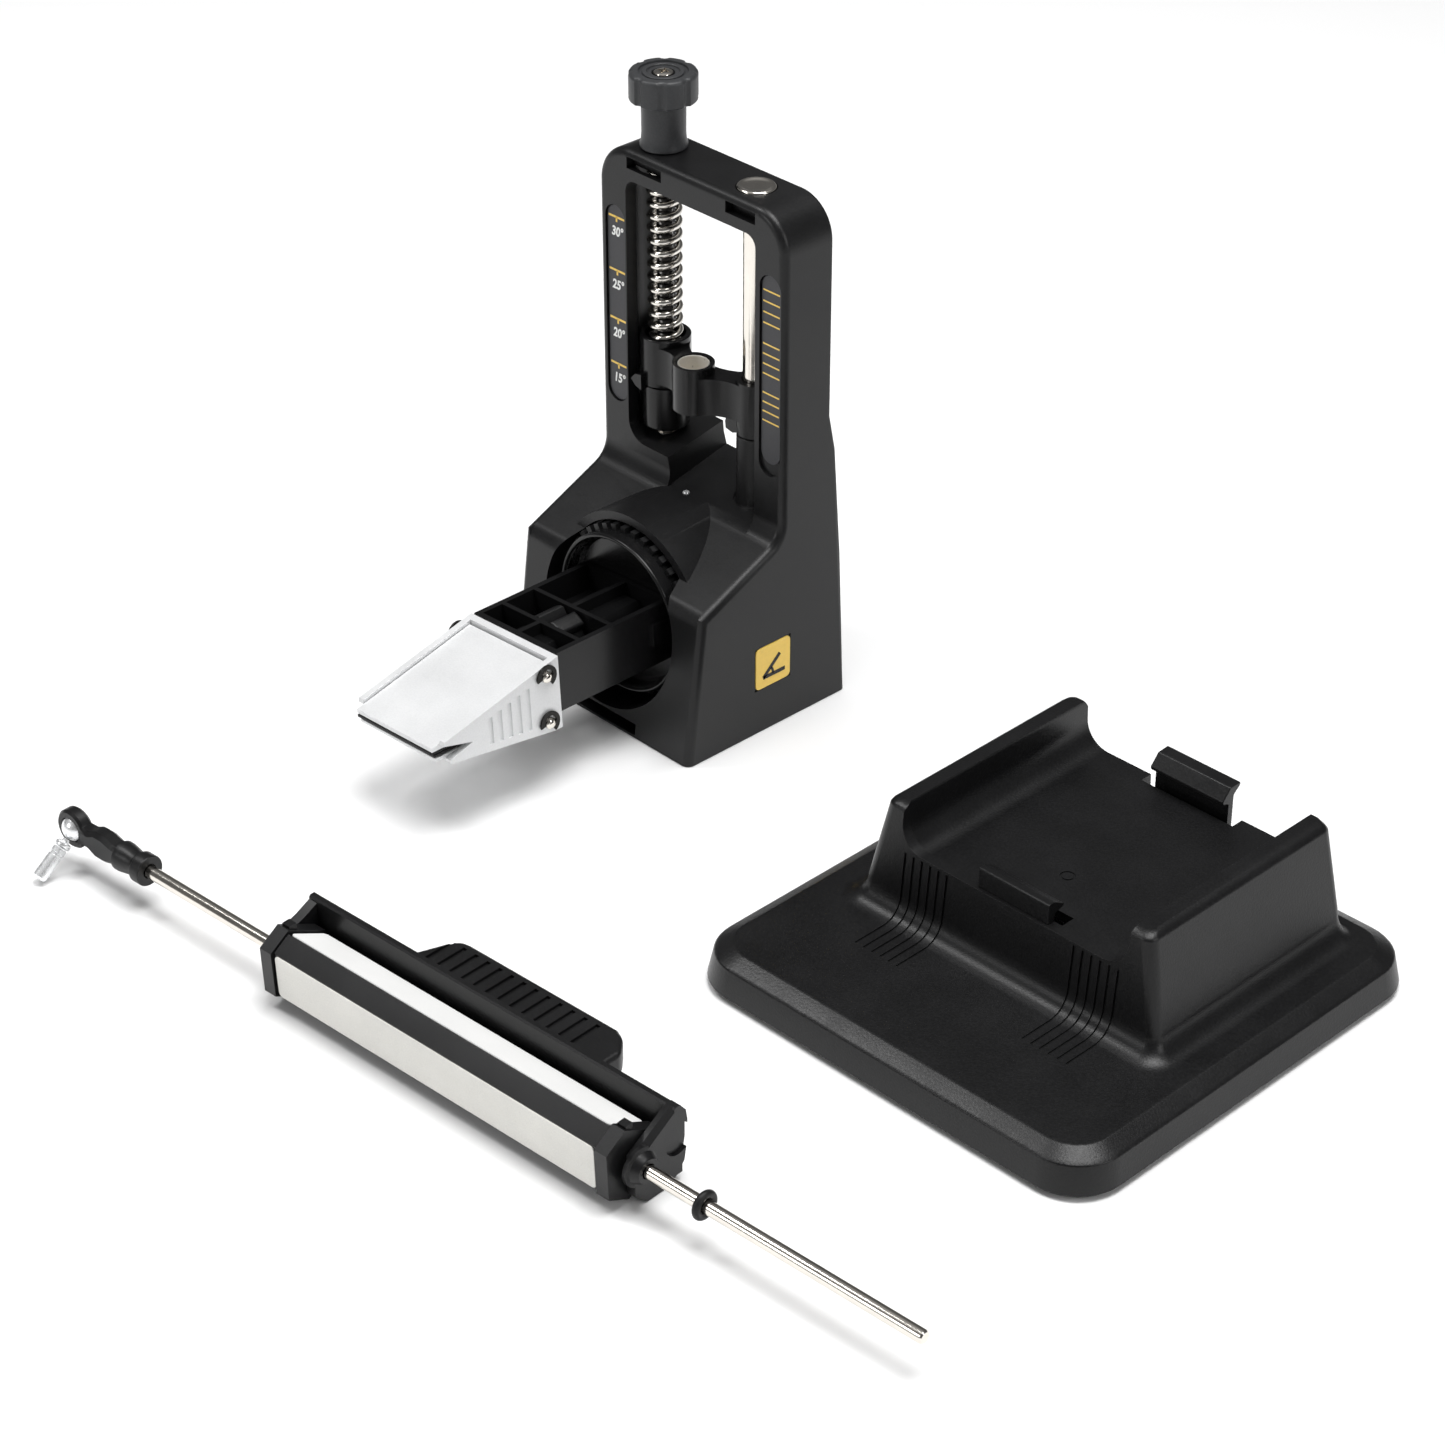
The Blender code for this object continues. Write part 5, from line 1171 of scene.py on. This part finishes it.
def buildRod():
    g = guideRod
    shaft = lathe(
        "slideRod",
        [(0, g["length"]), (1.6, g["length"]), (2.0, g["length"] - 0.5), (2.0, -7), (0, -7)],
        "X", (0, 0, 0), 64,
    )
    settle(shaft, rodFrame, "rod", "nickelBright", ["slide_rod"])
    end = lathe(
        "rodEnd",
        [
            (0, 0), (4.6, 0), (4.8, -0.3), (4.8, -3.6), (4.4, -4.0), (3.9, -4.2), (3.7, -5.4), (4.1, -7.5),
            (4.6, -10.5), (4.6, -12), (0, -12),
        ],
        "X", (0, 0, 0), 48,
    )
    neck = slab(
        "neck",
        [
            (-18, -4.6), (-14.5, -3.6), (-11, -3.4), (-11, 3.4), (-14.5, 3.6), (-18, 4.6), (-22, 4.6),
            (-25, 3.2), (-29.5, 3.0), (-29.5, -3.0), (-25, -3.2), (-22, -4.6),
        ],
        -3.0, 3.0, "Y",
    )
    roundEdges(neck, lambda m: -30 < m.x < -10 and abs(m.y) > 2.9, 1.3, 1)
    fuse(end, neck)
    ring = lathe(
        "eyeRing",
        [(0, 2.2), (5.5, 2.2), (6.2, 1.4), (6.2, -1.4), (5.5, -2.2), (0, -2.2)],
        "Y", (g["eye"], 0, 0), 64,
    )
    fuse(end, ring)
    bpy.ops.object.select_all(action="DESELECT")
    bpy.ops.mesh.primitive_uv_sphere_add(
        segments=48, ring_count=24, radius=4.5 * mm, location=(g["eye"] * mm, 0, 0)
    )
    race = bpy.context.object
    bpy.ops.object.transform_apply(location=True)
    carve(end, race, post("rodBore", 2.3, -7.5, 1, "X", (0, 0, 0), 40))
    soften(end, 0.25, 2, 50)
    settle(end, rodFrame, "rod", "mouldedBlack", ["rod_end"])
    half = [(max(r, 0), z) for r, z in arc((0, 0), g["ball"], 90, -90, 24)]
    sphere = lathe("jointBall", half, "Z", (0, 0, 0), 48)
    settle(sphere, pinFrame, "ball", "pinBright", ["joint_ball"])
    collar = lathe(
        "jointCollar",
        [
            (0, -4.5), (1.1, -4.5), (1.1, -5.4), (2.0, -5.6), (2.5, -6.0), (2.6, -6.6), (2.3, -7.2),
            (1.8, -7.4), (0, -7.4),
        ],
        "Z", (0, 0, 0), 40,
    )
    settle(collar, pinFrame, "collar", "pinBright", ["joint_collar"])
    pinProfile = [
        (0, -7.7), (2.0, -7.7), (2.2, -7.9), (2.2, -9.4), (1.9, -9.6), (1.9, -10.3), (2.2, -10.5),
        (2.2, -18.1), (1.7, -18.7), (0, -18.7),
    ]
    pin = lathe("jointPin", pinProfile, "Z", (0, 0, 0), 48)
    settle(pin, pinFrame, "pin", "pinBright", ["joint_pin"])
    ringBand = arc((3.2, 218.5), 1.15, 0, 345, 23)
    settle(
        lathe("stopRing", ringBand, "X", (0, 0, 0), 64), rodFrame, "stop_ring", "softRubber",
        ["stop_ring"],
    )


abrasive = {
    "start": 63.9, "end": 188.1, "cap": 4.5, "facet": 8.1, "strip": 10.5, "capFacet": 9.1, "capStrip": 11.0,
    "face": 8.5,
}


def threeSides(facet, strip):
    reach = math.sqrt(facet**2 + strip**2 - facet * strip) / math.sin(math.radians(60))
    lead = math.degrees(math.acos(facet / reach))
    angles = sorted((normal + side * lead) % 360 for normal in (180, 60, 300) for side in (-1, 1))
    return [(reach * math.cos(math.radians(a)), reach * math.sin(math.radians(a))) for a in angles]


def buildAbrasive():
    a = abrasive
    core = slab("abrasiveCore", threeSides(a["facet"], a["strip"]), a["start"], a["end"], "X")
    carve(core, post("coreBore", 2.3, a["start"] - 1, a["end"] + 1, "X", (0, 0, 0), 40))
    soften(core, 0.5, 3, 40)
    settle(core, coreFrame, "abrasive", "smoothBlack", ["abrasive_core"])
    for name, low, node in (
        ("leftCap", a["start"] - 0.3 - a["cap"], "left_cap"), ("rightCap", a["end"] + 0.3, "right_cap")
    ):
        cap = slab(name, threeSides(a["capFacet"], a["capStrip"]), low, low + a["cap"], "X")
        # three notches are cut round the cap, and one moulded clip is fused on
        for turn in (0, 120, 240):
            notch = brick("notch", (low + 1.4, 1.0, 10.2), (low + a["cap"] + 1, 4.4, 13))
            notch.data.transform(Matrix.Rotation(math.radians(turn - 30), 4, "X"))
            carve(cap, notch)
        fuse(cap, brick("capClip", (low + 0.9, -1.0, 9.0), (low + 3.9, 1.6, 11.9)))
        carve(cap, post("capBore", 2.3, low - 1, low + 6, "X", (0, 0, 0), 40))
        soften(cap, 0.35, 3, 40)
        settle(cap, coreFrame, "abrasive", "mouldedBlack", [node])
    plates = (
        ("coarsePlate", 180, "diamondGrit", "diamond_plate", "coarse_plate"),
        ("finePlate", 300, "diamondGrit", "diamond_plate", "fine_plate"),
        ("ceramicPlate", 60, "whiteCeramic", "ceramic", "ceramic_plate"),
    )
    for name, normal, finish, slot, node in plates:
        half, c = 7.0, 1.4
        outline = []
        for u, v, start in (
            (a["end"] - 0.5, half, 0), (a["start"] + 0.5, half, 90), (a["start"] + 0.5, -half, 180),
            (a["end"] - 0.5, -half, 270),
        ):
            outline += arc((u - math.copysign(c, u - 100), v - math.copysign(c, v)), c, start, start + 90, 5)
        plate = slab(name, outline, 7.7, a["face"])
        # lying flat, then stood on its facet
        plate.data.transform(Matrix(((1, 0, 0, 0), (0, 0, 1, 0), (0, 1, 0, 0), (0, 0, 0, 1))))
        plate.data.transform(Matrix.Rotation(math.radians(normal), 4, "X"))
        tidyMesh(plate)
        soften(plate, 0.15, 2)
        settle(plate, coreFrame, "abrasive", finish, [node])


handle = {
    "left": 55.6, "leftIn": 58.8, "rightIn": 193.2, "right": 196.4, "face": 12.3, "back": 15.2, "top": 12.0,
    "bottom": -10.4, "ribs": 13, "firstRib": 93, "ribPitch": 4.7,
}


def buildHandle():
    h = handle
    barShape = [
        (h["face"], h["bottom"]), (h["back"], h["bottom"]), (h["back"], h["top"] - 1.4),
        (h["back"] - 0.9, h["top"]), (h["face"] + 0.5, h["top"]), (h["face"], h["top"] - 0.6),
    ]
    body = slab("handleFrame", barShape, h["left"], h["right"], "X")
    gusset = [(-4.5, -5), (-4.5, 4.5), (7.2, 8.3), (14.2, 11.6), (14.2, -10.0), (2, -10.0)]
    shield = [
        (-2.5, 3.5), (12, 12), (14.5, 12), (16.6, 9.4), (17.2, 6), (17.2, 0), (16, -7), (12, -11.5),
        (8.2, -12.5), (2, -12.5), (-2.5, -8.5),
    ]
    wing = [(86, 14), (93, 31.5), (95.5, 33.6), (98.5, 34), (155, 34), (158.5, 32.4), (163, 27), (163, 14)]
    wall = slab("rightWall", shield, h["rightIn"], h["right"], "X")
    roundEdges(wall, lambda m: m.x > h["right"] - 0.1 and m.y < 8 and m.z > 3.6, 1.6, 1)
    grip = slab("grip", wing, -3.5, 4.5)
    roundEdges(grip, lambda m: m.y > 14.5, 1.6, 4)
    fuse(body, slab("leftWall", gusset, h["left"], h["leftIn"], "X"), wall)
    fuse(body, grip)
    cone = lathe(
        "cone",
        [(0, 198.8), (3.6, 198.8), (3.9, 198.4), (4.9, 196.6), (6.0, 196.2), (6.0, 195), (0, 195)],
        "X", (0, 0, 0), 48,
    )
    fuse(body, cone)
    # a second step and a scallop on the outside of the right wall
    carve(body, slab("scallop", arc((13.8, 1.2), 5.0, 0, 345, 23), h["right"] - 1.0, h["right"] + 1, "X"))
    # finger ribs on both faces of the wing
    for index in range(h["ribs"]):
        x = h["firstRib"] + h["ribPitch"] * index
        for z in (4.5, -3.5):
            carve(body, brick("groove", (x, 18.5, z - 0.9), (x + 1.5, 31.5, z + 0.9)))
    carve(body, post("handleBore", 2.3, 50, 210, "X", (0, 0, 0), 48))
    soften(body, 0.35, 3, 38)
    settle(body, rodFrame, "holder", "mouldedBlack", ["handle_frame"])


buildRod()
buildAbrasive()
buildHandle()
print("guide rod ready")
